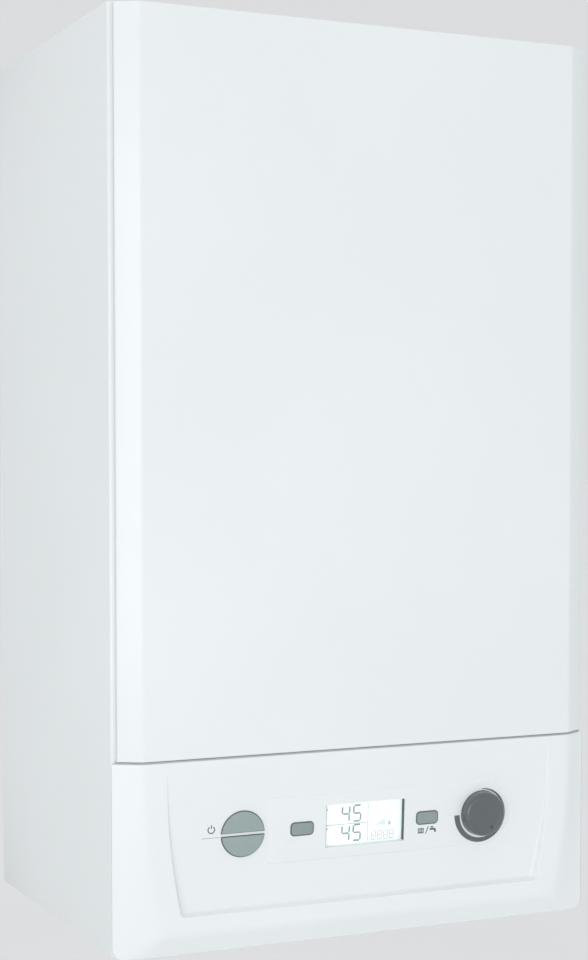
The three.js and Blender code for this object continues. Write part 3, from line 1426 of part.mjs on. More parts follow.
addPiece(controls, 'display_window', displayWindow(), lensClear);
addPiece(controls, 'display_module', displayModule(), moduleGrey);
addPiece(controls, 'display_board', displayBoard(), boardGreen);
addPiece(controls, 'encoder', encoder(), blackPlastic);
addPiece(controls, 'control_knob', controlKnob(), knobGrey, [controlSpread, 0, 0]);
addPiece(controls, 'upper_round_button', halfButton(1), buttonGrey, [-controlSpread, 0, roundRadius * 0.5]);
addPiece(controls, 'lower_round_button', halfButton(-1), buttonGrey, [-controlSpread, 0, -roundRadius * 0.5]);
addPiece(controls, 'left_small_button', smallButton(-smallSpread), buttonGrey, [-smallSpread, 0, 0]);
addPiece(controls, 'right_small_button', smallButton(smallSpread), buttonGrey, [smallSpread, 0, 0]);

export default boiler;
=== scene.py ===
import math

import bmesh
import bpy
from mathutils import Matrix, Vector


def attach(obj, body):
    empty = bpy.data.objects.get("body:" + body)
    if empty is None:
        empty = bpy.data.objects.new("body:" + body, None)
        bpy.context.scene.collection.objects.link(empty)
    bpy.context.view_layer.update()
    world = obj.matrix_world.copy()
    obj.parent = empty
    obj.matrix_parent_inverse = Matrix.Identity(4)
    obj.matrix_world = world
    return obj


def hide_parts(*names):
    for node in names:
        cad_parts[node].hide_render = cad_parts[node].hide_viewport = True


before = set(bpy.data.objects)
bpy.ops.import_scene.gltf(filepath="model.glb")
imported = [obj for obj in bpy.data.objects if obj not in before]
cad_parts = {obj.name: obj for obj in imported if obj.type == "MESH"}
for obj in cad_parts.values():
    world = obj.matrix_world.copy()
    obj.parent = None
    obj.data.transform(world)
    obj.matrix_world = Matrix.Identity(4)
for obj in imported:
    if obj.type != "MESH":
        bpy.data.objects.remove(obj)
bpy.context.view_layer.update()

SCENE = bpy.context.scene

# ------------------------------------------------------------------ dimensions
# Millimetres from the wall, the middle of the casing and its bottom edge.
ORIGIN_Z = 660.0

# The casing: half width, height, foot of the front panel, depths and sheet
HALF = 216.5
TOP = 740.0
SEAM = 153.5
FRONT = 317.0
EDGE = 304.0
SIDE_DEPTH = 303.0
FRONT_HALF = 195.0
SHEET = 1.2
SEAM_STRIP = (151.9, 153.1)
STUD_X = 206.5
STUD_HEIGHTS = (SEAM + 40, TOP - 45)

# The fascia's outline, its lower bevel and the curve of its facets
FASCIA_LOW, FASCIA_HIGH = -3.0, 152.0
FASCIA_WALL = 2.5
FASCIA_EDGE = 1.3
BACK_MARGIN = 2.6
CORNER_Z, CORNER_R = 7.0, 10.0
BEVEL_TOP, BEVEL_DROP = 14.0, 8.0
FOOT_FLARE = 2.0
FACET_TOP, FACET_RUN, FACET_PULL = 135.0, 121.0, 15.0
BEVEL_SOFT, CHAMFER_SOFT = 1.6, 2.2
STRAIGHT_X, FOLLOW_RUN = 130.0, 40.0

# The recess: its foot, head and rim, and how its walls run into the floor
RECESS_LOW, RECESS_HIGH, RECESS_RIM = 29.0, 146.0, 21.0
RIM_CORNER, RIM_START, RIM_EASE = 3.0, 0.8, 1.3
FOOT_RATE, WALL_RATE = 1.25, 2.5
HOLLOW, HOLLOW_RATE = 0.9, 0.7
SLOPE = 6.5 / 117.0
TILT = math.atan(SLOPE)

# The row of controls and the raised band that they stand on
ROW_Z = 90.5
ROW_DEPTH = FRONT - SLOPE * (RECESS_HIGH - ROW_Z)
PAD = 0.6
BAND_LEFT, BAND_HALF, BAND_CORNER = -88.0, 27.0, 4.0
RING_R, RING_RUN = 28.0, 5.0
ROUND_X, ROUND_R = 109.5, 18.2
SPLIT = 1.6
SMALL_X, SMALL_HALF_W, SMALL_HALF_H, SMALL_CORNER = 57.5, 9.5, 4.8, 2.5
GAP = 0.5
PROUD = 1.8
BROKEN_EDGE = 0.5
CAP_REAR = 4.0
CAP_FLANGE = (3.3, 4.8)
CAP_STEM, STEM_R = (4.5, 13.0), 3
KNOB_R, KNOB_STEM_HOLE = 19.0, 4
DOT_REACH, DOT_ANGLE = 13, math.radians(151)
SCREEN_W, SCREEN_H, SCREEN_CORNER = 72.0, 35.5, 1.0
CUT_SPAN = (-6, 9)

BODY = {
    "front_panel": "front_panel", "fascia": "control_box", "control_tray": "control_box",
    "wiring_cover": "control_box", "main_board": "control_box", "display_window": "control_box",
    "display_module": "control_box", "display_board": "control_box", "encoder": "control_box",
    "control_knob": "control_knob", "upper_round_button": "upper_round_button",
    "lower_round_button": "lower_round_button", "left_small_button": "left_small_button",
    "right_small_button": "right_small_button", "safety_valve_knob": "safety_valve_knob",
    "filling_knob": "filling_knob",
}

NODE_SLOT = {
    node_name: node_object.material_slots[0].material.name.split(".")[0]
    for node_name, node_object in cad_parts.items()
}


def place(x, y, z):
    return Vector((x / 1000, y / 1000, (z - ORIGIN_Z) / 1000))


def floor_place(u, d, v):
    """A point of the recess's tilted floor: along it, into it and up it."""
    return place(
        u,
        d * math.cos(TILT) - v * math.sin(TILT) - ROW_DEPTH,
        d * math.sin(TILT) + v * math.cos(TILT) + ROW_Z,
    )


def to_v(z):
    """The way up the tilted floor that reaches a height."""
    return (z - ROW_Z) / math.cos(TILT)


def full_turn(count):
    return [2 * math.pi * i / count for i in range(count)]


def quarter_turn(count, first=0):
    return [math.pi / 2 * i / count for i in range(first, count + 1)]


# ------------------------------------------------------------------- materials
def graph(name):
    mat = bpy.data.materials.new(name)
    mat.use_nodes = True
    tree = mat.node_tree
    shader = tree.nodes["Principled BSDF"]
    coords = tree.nodes.new("ShaderNodeTexCoord")
    return mat, tree, shader, coords


def stretched(tree, coords, scale):
    mapping = tree.nodes.new("ShaderNodeMapping")
    mapping.inputs["Scale"].default_value = scale
    tree.links.new(coords.outputs["Object"], mapping.inputs["Vector"])
    return mapping.outputs["Vector"]


def noise(tree, vector, scale, detail=3.0, rough=0.5):
    node = tree.nodes.new("ShaderNodeTexNoise")
    node.inputs["Scale"].default_value = scale
    node.inputs["Detail"].default_value = detail
    node.inputs["Roughness"].default_value = rough
    tree.links.new(vector, node.inputs["Vector"])
    return node.outputs["Fac"]


def ramp(tree, factor, start, end):
    """A colour between two stops, each a position and a colour."""
    node = tree.nodes.new("ShaderNodeValToRGB")
    for element, (position, colour) in zip(node.color_ramp.elements, (start, end)):
        element.position = position
        element.color = colour
    tree.links.new(factor, node.inputs["Fac"])
    return node.outputs["Color"]


def remap(tree, factor, low, high, start=0.3, end=0.7):
    node = tree.nodes.new("ShaderNodeMapRange")
    for key, value in (("From Min", start), ("From Max", end), ("To Min", low), ("To Max", high)):
        node.inputs[key].default_value = value
    tree.links.new(factor, node.inputs["Value"])
    return node.outputs["Result"]


def bump(tree, shader, height, strength, distance):
    node = tree.nodes.new("ShaderNodeBump")
    node.inputs["Strength"].default_value = strength
    node.inputs["Distance"].default_value = distance
    tree.links.new(height, node.inputs["Height"])
    tree.links.new(node.outputs["Normal"], shader.inputs["Normal"])


def tone(colour, factor):
    return tuple(min(1.0, part * factor) for part in colour) + (1.0,)


def coated(name, colour, rough, metal=0.0, cloud=12.0, vary=0.03, grain=900.0, relief=0.0001,
           strength=0.25, along=(1, 1, 1), uneven=0.06, coat=0.0):
    """Paint, moulding or bare metal: clouded colour, uneven gloss and a fine grain."""
    mat, tree, shader, coords = graph(name)
    vector = stretched(tree, coords, along)
    clouds = noise(tree, vector, cloud, 4.0)
    fine = noise(tree, vector, grain, 3.0, 0.6)
    colours = ramp(tree, clouds, (0.3, tone(colour, 1 - vary)), (0.7, tone(colour, 1 + vary)))
    tree.links.new(colours, shader.inputs["Base Color"])
    tree.links.new(remap(tree, fine, rough - uneven, rough + uneven), shader.inputs["Roughness"])
    shader.inputs["Metallic"].default_value = metal
    shader.inputs["Coat Weight"].default_value = coat
    shader.inputs["Coat Roughness"].default_value = 0.12
    bump(tree, shader, fine, strength, relief)
    return mat


def lens_material():
    """The clear window: nearly see-through, with a faint cool tint."""
    mat, tree, shader, coords = graph("lens_clear_look")
    vector = stretched(tree, coords, (1, 1, 1))
    fine = noise(tree, vector, 60, 2.0)
    tint = ramp(tree, fine, (0.3, (0.86, 0.95, 0.94, 1)), (0.7, (0.90, 0.97, 0.96, 1)))
    tree.links.new(tint, shader.inputs["Base Color"])
    tree.links.new(remap(tree, fine, 0.04, 0.09), shader.inputs["Roughness"])
    shader.inputs["Alpha"].default_value = 0.12
    bump(tree, shader, fine, 0.05, 0.0001)
    return mat


def lit_material():
    """The lit plate behind the window."""
    mat, tree, shader, coords = graph("screen_glow")
    vector = stretched(tree, coords, (1, 1, 1))
    fine = noise(tree, vector, 30, 2.0)
    grain = noise(tree, vector, 3000, 1.0)
    glow = ramp(tree, fine, (0.25, (0.86, 0.92, 0.93, 1)), (0.75, (0.90, 0.96, 0.965, 1)))
    tree.links.new(glow, shader.inputs["Base Color"])
    tree.links.new(glow, shader.inputs["Emission Color"])
    tree.links.new(remap(tree, grain, 0.3, 0.45), shader.inputs["Roughness"])
    shader.inputs["Emission Strength"].default_value = 0.38
    bump(tree, shader, grain, 0.05, 0.00005)
    return mat


WHITE = (0.80, 0.835, 0.84)
LOOKS = {
    "white_paint": dict(
        colour=WHITE, rough=0.34, cloud=5, vary=0.012, grain=650, strength=0.10, coat=0.15),
    "white_plastic": dict(
        colour=WHITE, rough=0.42, cloud=8, vary=0.012, grain=1600, strength=0.14),
    "button_grey": dict(
        colour=(0.302, 0.377, 0.367), rough=0.44, cloud=60, vary=0.04, grain=2200, strength=0.2),
    "knob_grey": dict(
        colour=(0.082, 0.101, 0.105), rough=0.32, cloud=50, vary=0.05, grain=2600, strength=0.12,
        coat=0.8),
    "module_grey": dict(
        colour=(0.30, 0.34, 0.34), rough=0.5, cloud=40, vary=0.05, grain=1500),
    "zinc": dict(
        colour=(0.56, 0.58, 0.60), rough=0.38, metal=1.0, cloud=70, vary=0.12, grain=500, uneven=0.1),
    "stainless": dict(
        colour=(0.60, 0.61, 0.61), rough=0.30, metal=1.0, cloud=14, vary=0.07, grain=500,
        along=(1, 0.12, 1), uneven=0.08),
    "cast_aluminium": dict(
        colour=(0.60, 0.61, 0.62), rough=0.52, metal=0.9, cloud=30, vary=0.08, grain=800,
        relief=0.0004, strength=0.5),
    "brass": dict(
        colour=(0.72, 0.53, 0.24), rough=0.33, metal=1.0, cloud=40, vary=0.12, grain=900,
        relief=0.0002, strength=0.3),
    "copper": dict(
        colour=(0.77, 0.40, 0.26), rough=0.28, metal=1.0, cloud=26, vary=0.14, grain=700, uneven=0.1),
    "black_plastic": dict(
        colour=(0.024, 0.025, 0.027), rough=0.45, cloud=30, vary=0.12, grain=1500,
        relief=0.0002, strength=0.35),
    "grey_plastic": dict(
        colour=(0.27, 0.285, 0.30), rough=0.48, cloud=24, vary=0.06, grain=1300,
        relief=0.0002, strength=0.3),
    "red_paint": dict(
        colour=(0.46, 0.028, 0.022), rough=0.33, cloud=10, vary=0.06, grain=420,
        relief=0.0003, strength=0.25, coat=0.3),
    "red_plastic": dict(
        colour=(0.52, 0.032, 0.024), rough=0.36, cloud=40, vary=0.05, grain=1600),
    "blue_plastic": dict(
        colour=(0.02, 0.085, 0.34), rough=0.38, cloud=40, vary=0.05, grain=1600),
    "board_green": dict(
        colour=(0.02, 0.135, 0.06), rough=0.34, cloud=120, vary=0.2, grain=700,
        relief=0.0002, strength=0.5),
    "ceramic": dict(
        colour=(0.80, 0.78, 0.72), rough=0.25, cloud=60, vary=0.03, grain=900),
}
MATERIALS = {slot: coated(slot + "_look", **look) for slot, look in LOOKS.items()}
MATERIALS["lens_clear"] = lens_material()

GLOW = lit_material()
SMALL_GREY = coated(
    "small_button_grey", (0.258, 0.318, 0.314), 0.44, cloud=60, vary=0.04, grain=2200, strength=0.2)
# Painted shade: the mid grey of the strip behind the seam stands for the shade in the seam.
SEAM_SHADE = coated("seam_shade_grey", (0.43, 0.45, 0.45), 0.6, cloud=40, vary=0.04, grain=1500)
# Painted shade: a dark grey for the gaps round the buttons and under the knob's edge, where shade
# falls.
GAP_SHADE = coated("painted_gap_shade_grey", (0.115, 0.145, 0.142), 0.5, cloud=60, vary=0.05, grain=2000)
LINING = coated("screen_lining", (0.060, 0.088, 0.088), 0.4, cloud=60, vary=0.06, grain=2000)
INK = coated("ink_grey", (0.115, 0.14, 0.15), 0.5, cloud=200, vary=0.08, grain=2600)
INK_SOFT = coated("ink_soft", (0.30, 0.335, 0.34), 0.5, cloud=200, vary=0.06, grain=2600)
SEGMENT = coated("segment_dark", (0.235, 0.305, 0.315), 0.4, cloud=200, vary=0.06, grain=2600)
SEGMENT_SOFT = coated("segment_soft", (0.46, 0.56, 0.57), 0.4, cloud=200, vary=0.05, grain=2600)
SEGMENT_FAINT = coated("segment_faint", (0.55, 0.69, 0.70), 0.4, cloud=200, vary=0.05, grain=2600)


# --------------------------------------------------------------------- builders
# How near points are that become one, in metres
WELD, FINE_WELD = 2e-6, 1e-6


def dress(obj, node=None, material=None, body=None, slot=None, angle=35):
    """Material, soft shading and the body that carries the piece."""
    record_slot = slot or (NODE_SLOT[node] if node else None)
    mesh = obj.data
    mesh.materials.clear()
    mesh.materials.append(material or MATERIALS[record_slot])
    for polygon in mesh.polygons:
        polygon.use_smooth = True
    mesh.set_sharp_from_angle(angle=math.radians(angle))
    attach(obj, body or BODY.get(node, "casing"))
    if node:
        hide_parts(node)
    return obj


def from_bmesh(name, bm):
    bmesh.ops.remove_doubles(bm, verts=bm.verts, dist=WELD)
    bmesh.ops.recalc_face_normals(bm, faces=bm.faces)
    mesh = bpy.data.meshes.new(name)
    bm.to_mesh(mesh)
    bm.free()
    obj = bpy.data.objects.new(name, mesh)
    SCENE.collection.objects.link(obj)
    return obj


def skin(bm, rows):
    """Faces between closed rows of vertices."""
    count = len(rows[0])
    for row, following in zip(rows, rows[1:]):
        for i in range(count):
            j = (i + 1) % count
            bm.faces.new((row[i], row[j], following[j], following[i]))


def rings(bm, loops, close_ends=True):
    """Skins a list of closed point loops of equal length."""
    rows = [[bm.verts.new(point) for point in loop] for loop in loops]
    skin(bm, rows)
    if close_ends:
        bm.faces.new(rows[0])
        bm.faces.new(rows[-1])


def rounded(points, radii, steps=6):
    """A closed outline with each corner turned by an arc."""
    out = []
    count = len(points)
    for i, (point, radius) in enumerate(zip(points, radii)):
        corner = Vector(point)
        back = (Vector(points[i - 1]) - corner).normalized()
        ahead = (Vector(points[(i + 1) % count]) - corner).normalized()
        half = back.angle(ahead) / 2
        if radius <= 0 or half > math.pi / 2 - 1e-3:
            out.append(tuple(corner))
            continue
        middle = corner + (back + ahead).normalized() * (radius / math.sin(half))
        start = corner + back * (radius / math.tan(half)) - middle
        end = corner + ahead * (radius / math.tan(half)) - middle
        turn = start.angle_signed(end)
        for k in range(steps + 1):
            angle = -turn * k / steps
            c, s = math.cos(angle), math.sin(angle)
            out.append((middle.x + start.x * c - start.y * s, middle.y + start.x * s + start.y * c))
    return out


def inset(points, amount):
    """Moves a closed outline inwards along its corner directions."""
    area = sum(
        points[i - 1][0] * points[i][1] - points[i][0] * points[i - 1][1] for i in range(len(points))
    )
    sign = 1 if area > 0 else -1
    out = []
    for i, point in enumerate(points):
        corner = Vector(point)
        before = (corner - Vector(points[i - 1])).normalized()
        after = (Vector(points[(i + 1) % len(points)]) - corner).normalized()
        normal_before = Vector((-before.y, before.x)) * sign
        normal_after = Vector((-after.y, after.x)) * sign
        middle = (normal_before + normal_after).normalized()
        out.append(tuple(corner + middle * (amount / max(0.4, middle.dot(normal_before)))))
    return out


def settle(obj):
    """Replaces the mesh by what its modifiers make of it."""
    depsgraph = bpy.context.evaluated_depsgraph_get()
    mesh = bpy.data.meshes.new_from_object(obj.evaluated_get(depsgraph))
    obj.modifiers.clear()
    obj.data = mesh


def carve(target, *tools):
    """Cuts the tools out of the target and removes them."""
    for tool in tools:
        modifier = target.modifiers.new("cut", "BOOLEAN")
        modifier.operation = "DIFFERENCE"
        modifier.solver = "EXACT"
        modifier.object = tool
    settle(target)
    for tool in tools:
        bpy.data.objects.remove(tool, do_unlink=True)


def floor_prism(name, outline, span):
    """An outline on the tilted floor, drawn out between two depths."""
    bm = bmesh.new()
    rings(bm, [[floor_place(u, d, v) for u, v in outline] for d in span])
    return from_bmesh(name, bm)


def circle(u, v, radius, steps=64, start=0.0, end=2 * math.pi):
    """Points of an arc; a full circle leaves out its second end."""
    full = abs(end - start - 2 * math.pi) < 1e-6
    angles = [start + (end - start) * i / steps for i in range(steps if full else steps + 1)]
    return [(u + radius * math.cos(angle), v + radius * math.sin(angle)) for angle in angles]


def rectangle(u0, u1, v0, v1, radius, steps=6):
    return rounded([(u0, v0), (u1, v0), (u1, v1), (u0, v1)], [radius] * 4, steps)


# ----------------------------------------------------------------- sheet casing
def panel_outline(amount):
    """The front panel seen from above, moved inwards by an amount; the back stays."""
    run = Vector((HALF - FRONT_HALF, FRONT - EDGE))
    slope = run.y / run.x
    face = FRONT - amount
    shift = amount * run.length / run.x
    corner = HALF - (face - EDGE + shift) / slope
    tail = HALF - shift / slope
    soft = max(1.0, 7.0 - amount)
    edge = max(0.4, 1.6 - amount)
    points = [(-tail, -EDGE), (-corner, -face), (corner, -face), (tail, -EDGE)]
    return rounded(points, [edge, soft, soft, edge])


def front_panel():
    """One bent sheet with softened ends, hollow behind, and the four studs that hold it."""
    soft = 1.6
    # The hollow leaves a lip behind and a sheet's thickness at the chamfers and the face.
    lip, cheek, face_in = 14, 5.2, 195.4
    low = [
        (SEAM + soft * (1 - math.cos(angle)), soft * (1 - math.sin(angle)))
        for angle in quarter_turn(5)
    ]
    middle = [(SEAM + (TOP - SEAM) * part, 0.0) for part in (0.25, 0.5, 0.75)]
    high = [(TOP - (z - SEAM), amount) for z, amount in reversed(low)]
    bm = bmesh.new()
    rings(bm, [
        [place(x, y, z) for x, y in panel_outline(amount)] for z, amount in low + middle + high
    ])
    panel = from_bmesh("front_panel_sheet", bm)
    tool = bmesh.new()
    inner = [
        (-HALF + lip, -EDGE + 5), (-HALF + lip, -EDGE - SHEET),
        (-HALF + cheek, -EDGE - SHEET), (-face_in, -FRONT + SHEET),
    ]
    inner = inner + [(-x, y) for x, y in reversed(inner)]
    rings(tool, [[place(x, y, z) for x, y in inner] for z in (SEAM + SHEET, TOP - SHEET)])
    carve(panel, from_bmesh("panel_hollow", tool))
    bm = bmesh.new()
    bm.from_mesh(panel.data)
    stud = ((-EDGE - 0.6, 3.5), (-EDGE + 11, 3.5), (-EDGE + 11.7, 3.2), (-EDGE + 12, 2.6))
    for side in (-1, 1):
        for z in STUD_HEIGHTS:
            rings(bm, [
                [
                    place(side * STUD_X + radius * math.cos(angle), y, z + radius * math.sin(angle))
                    for angle in full_turn(24)
                ]
                for y, radius in stud
            ])
    bpy.data.objects.remove(panel, do_unlink=True)
    dress(from_bmesh("front_panel_skin", bm), "front_panel", angle=40)


front_panel()


def side_panel(side, name, node):
    """A folded sheet with broken edges and the holes for the front panel's studs."""
    back_fold, front_fold = 13, 20
    outer = rounded(
        [(HALF - back_fold, 0), (HALF, 0), (HALF, -SIDE_DEPTH), (HALF - front_fold, -SIDE_DEPTH),
         (HALF - front_fold, -SIDE_DEPTH + SHEET), (HALF - SHEET, -SIDE_DEPTH + SHEET),
         (HALF - SHEET, -SHEET), (HALF - back_fold, -SHEET)],
        [0.3, 2.4, 2.2, 0.3, 0.3, 1.0, 1.2, 0.3],
    )
    soft = 0.16
    mid_height, mid_inset = 0.05, 0.07
    levels = [
        (0, soft), (mid_height, mid_inset), (soft, 0), (TOP / 3, 0), (2 * TOP / 3, 0),
        (TOP - soft, 0), (TOP - mid_height, mid_inset), (TOP, soft),
    ]
    bm = bmesh.new()
    rings(bm, [[place(side * x, y, z) for x, y in inset(outer, amount)] for z, amount in levels])
    panel = from_bmesh(name, bm)
    hole_r = 4
    tools = []
    for z in STUD_HEIGHTS:
        tool = bmesh.new()
        rings(tool, [
            [
                place(side * STUD_X + hole_r * math.cos(angle), y, z + hole_r * math.sin(angle))
                for angle in full_turn(24)
            ]
            for y in (-SIDE_DEPTH - 2, -SIDE_DEPTH + 4)
        ])
        tools.append(from_bmesh("stud_hole", tool))
    carve(panel, *tools)
    dress(panel, node, angle=40)


side_panel(-1, "left_side_sheet", "left_side_panel")
side_panel(1, "right_side_sheet", "right_side_panel")


# ----------------------------------------------------------------------- fascia
def facet_half(z):
    """Half width of the flat front face above the bevel."""
    drop = max(0.0, FACET_TOP - z) / FACET_RUN
    return FRONT_HALF - FACET_PULL * min(drop, 1.0) ** 2


def soft_min(first, second, reach):
    """The lesser of two values, blended where they lie within reach of each other."""
    near = max(reach - abs(first - second), 0.0) / reach
    return min(first, second) - near * near * reach / 4


def face_edge(z):
    """Half width and depth of the flat front face at one height."""
    below = max(0.0, (BEVEL_TOP - z) / (BEVEL_TOP - FASCIA_LOW))
    straight = facet_half(max(z, BEVEL_TOP))
    return straight + (FRONT_HALF + FOOT_FLARE - straight) * below, FRONT - BEVEL_DROP * below


def face_depth(x, z):
    """How far the fascia's face stands from the wall."""
    half, face = face_edge(z)
    bevel = FRONT - BEVEL_DROP * (BEVEL_TOP - z) / (BEVEL_TOP - FASCIA_LOW)
    plane = soft_min(FRONT, bevel, BEVEL_SOFT)
    slope = (face - EDGE) / (HALF - half)
    chamfer = EDGE + (HALF - abs(x)) * slope
    outer = soft_min(plane, chamfer, CHAMFER_SOFT)
    side = facet_half(z) - RECESS_RIM - abs(x)
    foot = (z - RECESS_LOW) * FOOT_RATE
    if side < RIM_CORNER and foot < RIM_CORNER:
        inside = RIM_CORNER - math.hypot(RIM_CORNER - side, RIM_CORNER - foot)
    else:
        inside = min(side, foot)
    # Steep at the rim, with a wide hollow running out into the floor
    depth = max(0.0, SLOPE * (RECESS_HIGH - z))
    fall = max(0.0, inside + RIM_START) * WALL_RATE
    wall = soft_min(depth, fall, HOLLOW + HOLLOW_RATE * depth)
    ease = min(1.0, max(0.0, inside + RIM_EASE) / RIM_EASE)
    return outer - max(0.0, min(depth, wall)) * ease * ease * (3 - 2 * ease)


def warped(u, z):
    """Grid line u at height z: the lines follow the facet's edge and the outline."""
    half, _ = face_edge(z)
    limit = HALF
    if z < CORNER_Z:
        limit = HALF - CORNER_R + math.sqrt(max(0.0, CORNER_R ** 2 - (CORNER_Z - z) ** 2))
    limit -= FASCIA_EDGE
    sign = -1 if u < 0 else 1
    reach = abs(u)
    if reach <= STRAIGHT_X:
        return u
    if reach > FRONT_HALF:
        part = (reach - FRONT_HALF) / (HALF - FRONT_HALF)
        return sign * (half + (limit - half) * part)
    if z >= BEVEL_TOP:
        return sign * (reach - (FRONT_HALF - half) * min(1.0, (reach - STRAIGHT_X) / FOLLOW_RUN))
    return sign * (STRAIGHT_X + (half - STRAIGHT_X) * (reach - STRAIGHT_X) / (FRONT_HALF - STRAIGHT_X))


def border(layer):
    """The vertices round a grid's rim, in order."""
    last_row, last_column = len(layer) - 1, len(layer[0]) - 1
    loop = list(layer[0])
    loop += [row[last_column] for row in layer[1:]]
    loop += [layer[last_row][i] for i in range(last_column - 1, -1, -1)]
    loop += [layer[j][0] for j in range(last_row - 1, 0, -1)]
    return loop


def fascia():
    """A front grid and a back grid, joined by a rounded rim."""
    # Grid lines, close together where the recess's rim and the facets' edges run
    low, high = FASCIA_LOW + FASCIA_EDGE, FASCIA_HIGH - FASCIA_EDGE
    lines = [0, 15, 30, 45, 60, 75, 90, 105, 120, 130, 140, 150, 157, 162, 164]
    lines += [165.2 + 0.55 * i for i in range(21)]
    lines += [179, 183, 187, 190.5]
    lines += [192.5 + 0.6 * i for i in range(9)]
    lines += [200, 204, 208, 212, HALF]
    columns = [-u for u in reversed(lines[1:])] + lines
    rows = [
        CORNER_Z - (CORNER_R - FASCIA_EDGE) * math.sin(angle)
        for angle in reversed(quarter_turn(10, 1))
    ]
    rows[0] = low
    rows += [7.5, 9, 10.5, 12, 12.8, 13.4, 14, 14.6, 15.2, 16, 18, 21, 24, 26]
    rows += [27.4 + 0.3 * i for i in range(29)]
    rows += [36.4, 37.2, 38.6, 42, 46, 52, 58, 64, 70, 76, 82, 88, 94, 100, 106, 112, 118, 124]
    rows += [129, 135, 140, 144, 146, 148, high]

    bm = bmesh.new()
    grid = [[(warped(u, z), z) for u in columns] for z in rows]
    front = [[bm.verts.new(place(x, -face_depth(x, z), z)) for x, z in row] for row in grid]
    back = []
    for row in grid:
        line = []
        for x, z in row:
            bx = max(-HALF + BACK_MARGIN, min(HALF - BACK_MARGIN, x))
            bz = max(FASCIA_LOW + BACK_MARGIN, min(FASCIA_HIGH - BACK_MARGIN, z))
            line.append(bm.verts.new(place(bx, -max(EDGE, face_depth(bx, bz) - FASCIA_WALL), bz)))
        back.append(line)
    for layer in (front, back):
        for row, following in zip(layer, layer[1:]):
            for i in range(len(columns) - 1):
                bm.faces.new((row[i], row[i + 1], following[i + 1], following[i]))

    # Each vertex of the front's rim, with the direction that points out of the outline
    outer = border(front)
    tiny, near = 1e-6, 1e-3
    rim = []
    for vert in outer:
        x, z = vert.co.x * 1000, vert.co.z * 1000 + ORIGIN_Z
        depth = -vert.co.y * 1000
        nx, nz = 0.0, 0.0
        if z < CORNER_Z - tiny and abs(x) > HALF - CORNER_R - tiny:
            away = Vector((abs(x) - (HALF - CORNER_R), z - CORNER_Z)).normalized()
            nx, nz = math.copysign(away.x, x), away.y
        else:
            if abs(abs(x) - (HALF - FASCIA_EDGE)) < near:
                nx = math.copysign(1.0, x)
            if z <= low + near:
                nz = -1.0
            elif z >= high - near:
                nz = 1.0
        rim.append((x, depth, z, nx, nz))
    loops = [outer]
    for angle in quarter_turn(4, 1):
        out, drop = FASCIA_EDGE * math.sin(angle), FASCIA_EDGE * (1 - math.cos(angle))
        loops.append([
            bm.verts.new(place(x + nx * out, -max(EDGE, depth - drop), z + nz * out))
            for x, depth, z, nx, nz in rim
        ])
    loops.append([
        bm.verts.new(place(x + nx * FASCIA_EDGE, -EDGE, z + nz * FASCIA_EDGE))
        for x, depth, z, nx, nz in rim
    ])
    loops.append(border(back))
    skin(bm, loops)
    bmesh.ops.remove_doubles(bm, verts=bm.verts, dist=FINE_WELD)
    bmesh.ops.dissolve_degenerate(bm, dist=FINE_WELD, edges=bm.edges)
    return from_bmesh("fascia_moulding", bm)


def half_disc(side, radius, gap):
    """The outline of one half of the round button, above or below the split."""
    edge = math.asin(gap / radius)
    start = edge if side > 0 else math.pi + edge
    return circle(-ROUND_X, 0, radius, 40, start, start + math.pi - 2 * edge)


def small_outline(x, more):
    """The outline of a small button, moved outwards."""
    return rectangle(
        x - SMALL_HALF_W - more, x + SMALL_HALF_W + more,
        -SMALL_HALF_H - more, SMALL_HALF_H + more, SMALL_CORNER + more,
    )


def openings(tag):
    """Cutting tools for the buttons, the display window and the knob's stem."""
    tools = []
    for i, side in enumerate((1, -1)):
        tools.append(floor_prism(
            f"{tag}_round_{i}", half_disc(side, ROUND_R + GAP, SPLIT - GAP), CUT_SPAN))
    for i, side in enumerate((-1, 1)):
        tools.append(floor_prism(f"{tag}_small_{i}", small_outline(side * SMALL_X, GAP), CUT_SPAN))
    window = rectangle(
        -SCREEN_W / 2, SCREEN_W / 2, -SCREEN_H / 2, SCREEN_H / 2, radius=SCREEN_CORNER, steps=4)
    tools.append(floor_prism(f"{tag}_screen", window, CUT_SPAN))
    tools.append(floor_prism(f"{tag}_stem", circle(ROUND_X, 0, KNOB_STEM_HOLE, 32), CUT_SPAN))
    return tools


shell = fascia()
carve(shell, *openings("shell"))
dress(shell, "fascia", angle=38)


def band_outline():
    """The raised band, with the ring round the knob at its right end."""
    meet = math.sqrt(RING_R ** 2 - BAND_HALF ** 2)
    join = ROUND_X - meet - RING_RUN
    centre_u = BAND_LEFT + BAND_CORNER

    def corner(centre_v, start):
        return [
            (centre_u + BAND_CORNER * math.cos(start + angle),
             centre_v + BAND_CORNER * math.sin(start + angle))
            for angle in quarter_turn(6)
        ]

    points = corner(-BAND_HALF + BAND_CORNER, math.pi)
    points.append((join, -BAND_HALF))
    first, last = math.atan2(-BAND_HALF, -meet), math.atan2(BAND_HALF, -meet)
    points += circle(ROUND_X, 0, RING_R, 72, first, last)
    points.append((join, BAND_HALF))
    points += corner(BAND_HALF - BAND_CORNER, math.pi / 2)
    return points


def band():
    outline = band_outline()
    levels = [
        (0.3, 0.0), (-0.02, 0.0), (-0.12, 0.05),
        (-PAD + 0.18, 0.40), (-PAD + 0.05, 0.62), (-PAD, 0.95),
    ]
    bm = bmesh.new()
    rings(bm, [[floor_place(u, d, v) for u, v in inset(outline, amount)] for d, amount in levels])
    obj = from_bmesh("fascia_band", bm)
    carve(obj, *openings("band"))
    dress(obj, body="control_box", slot="white_plastic", angle=38)


band()


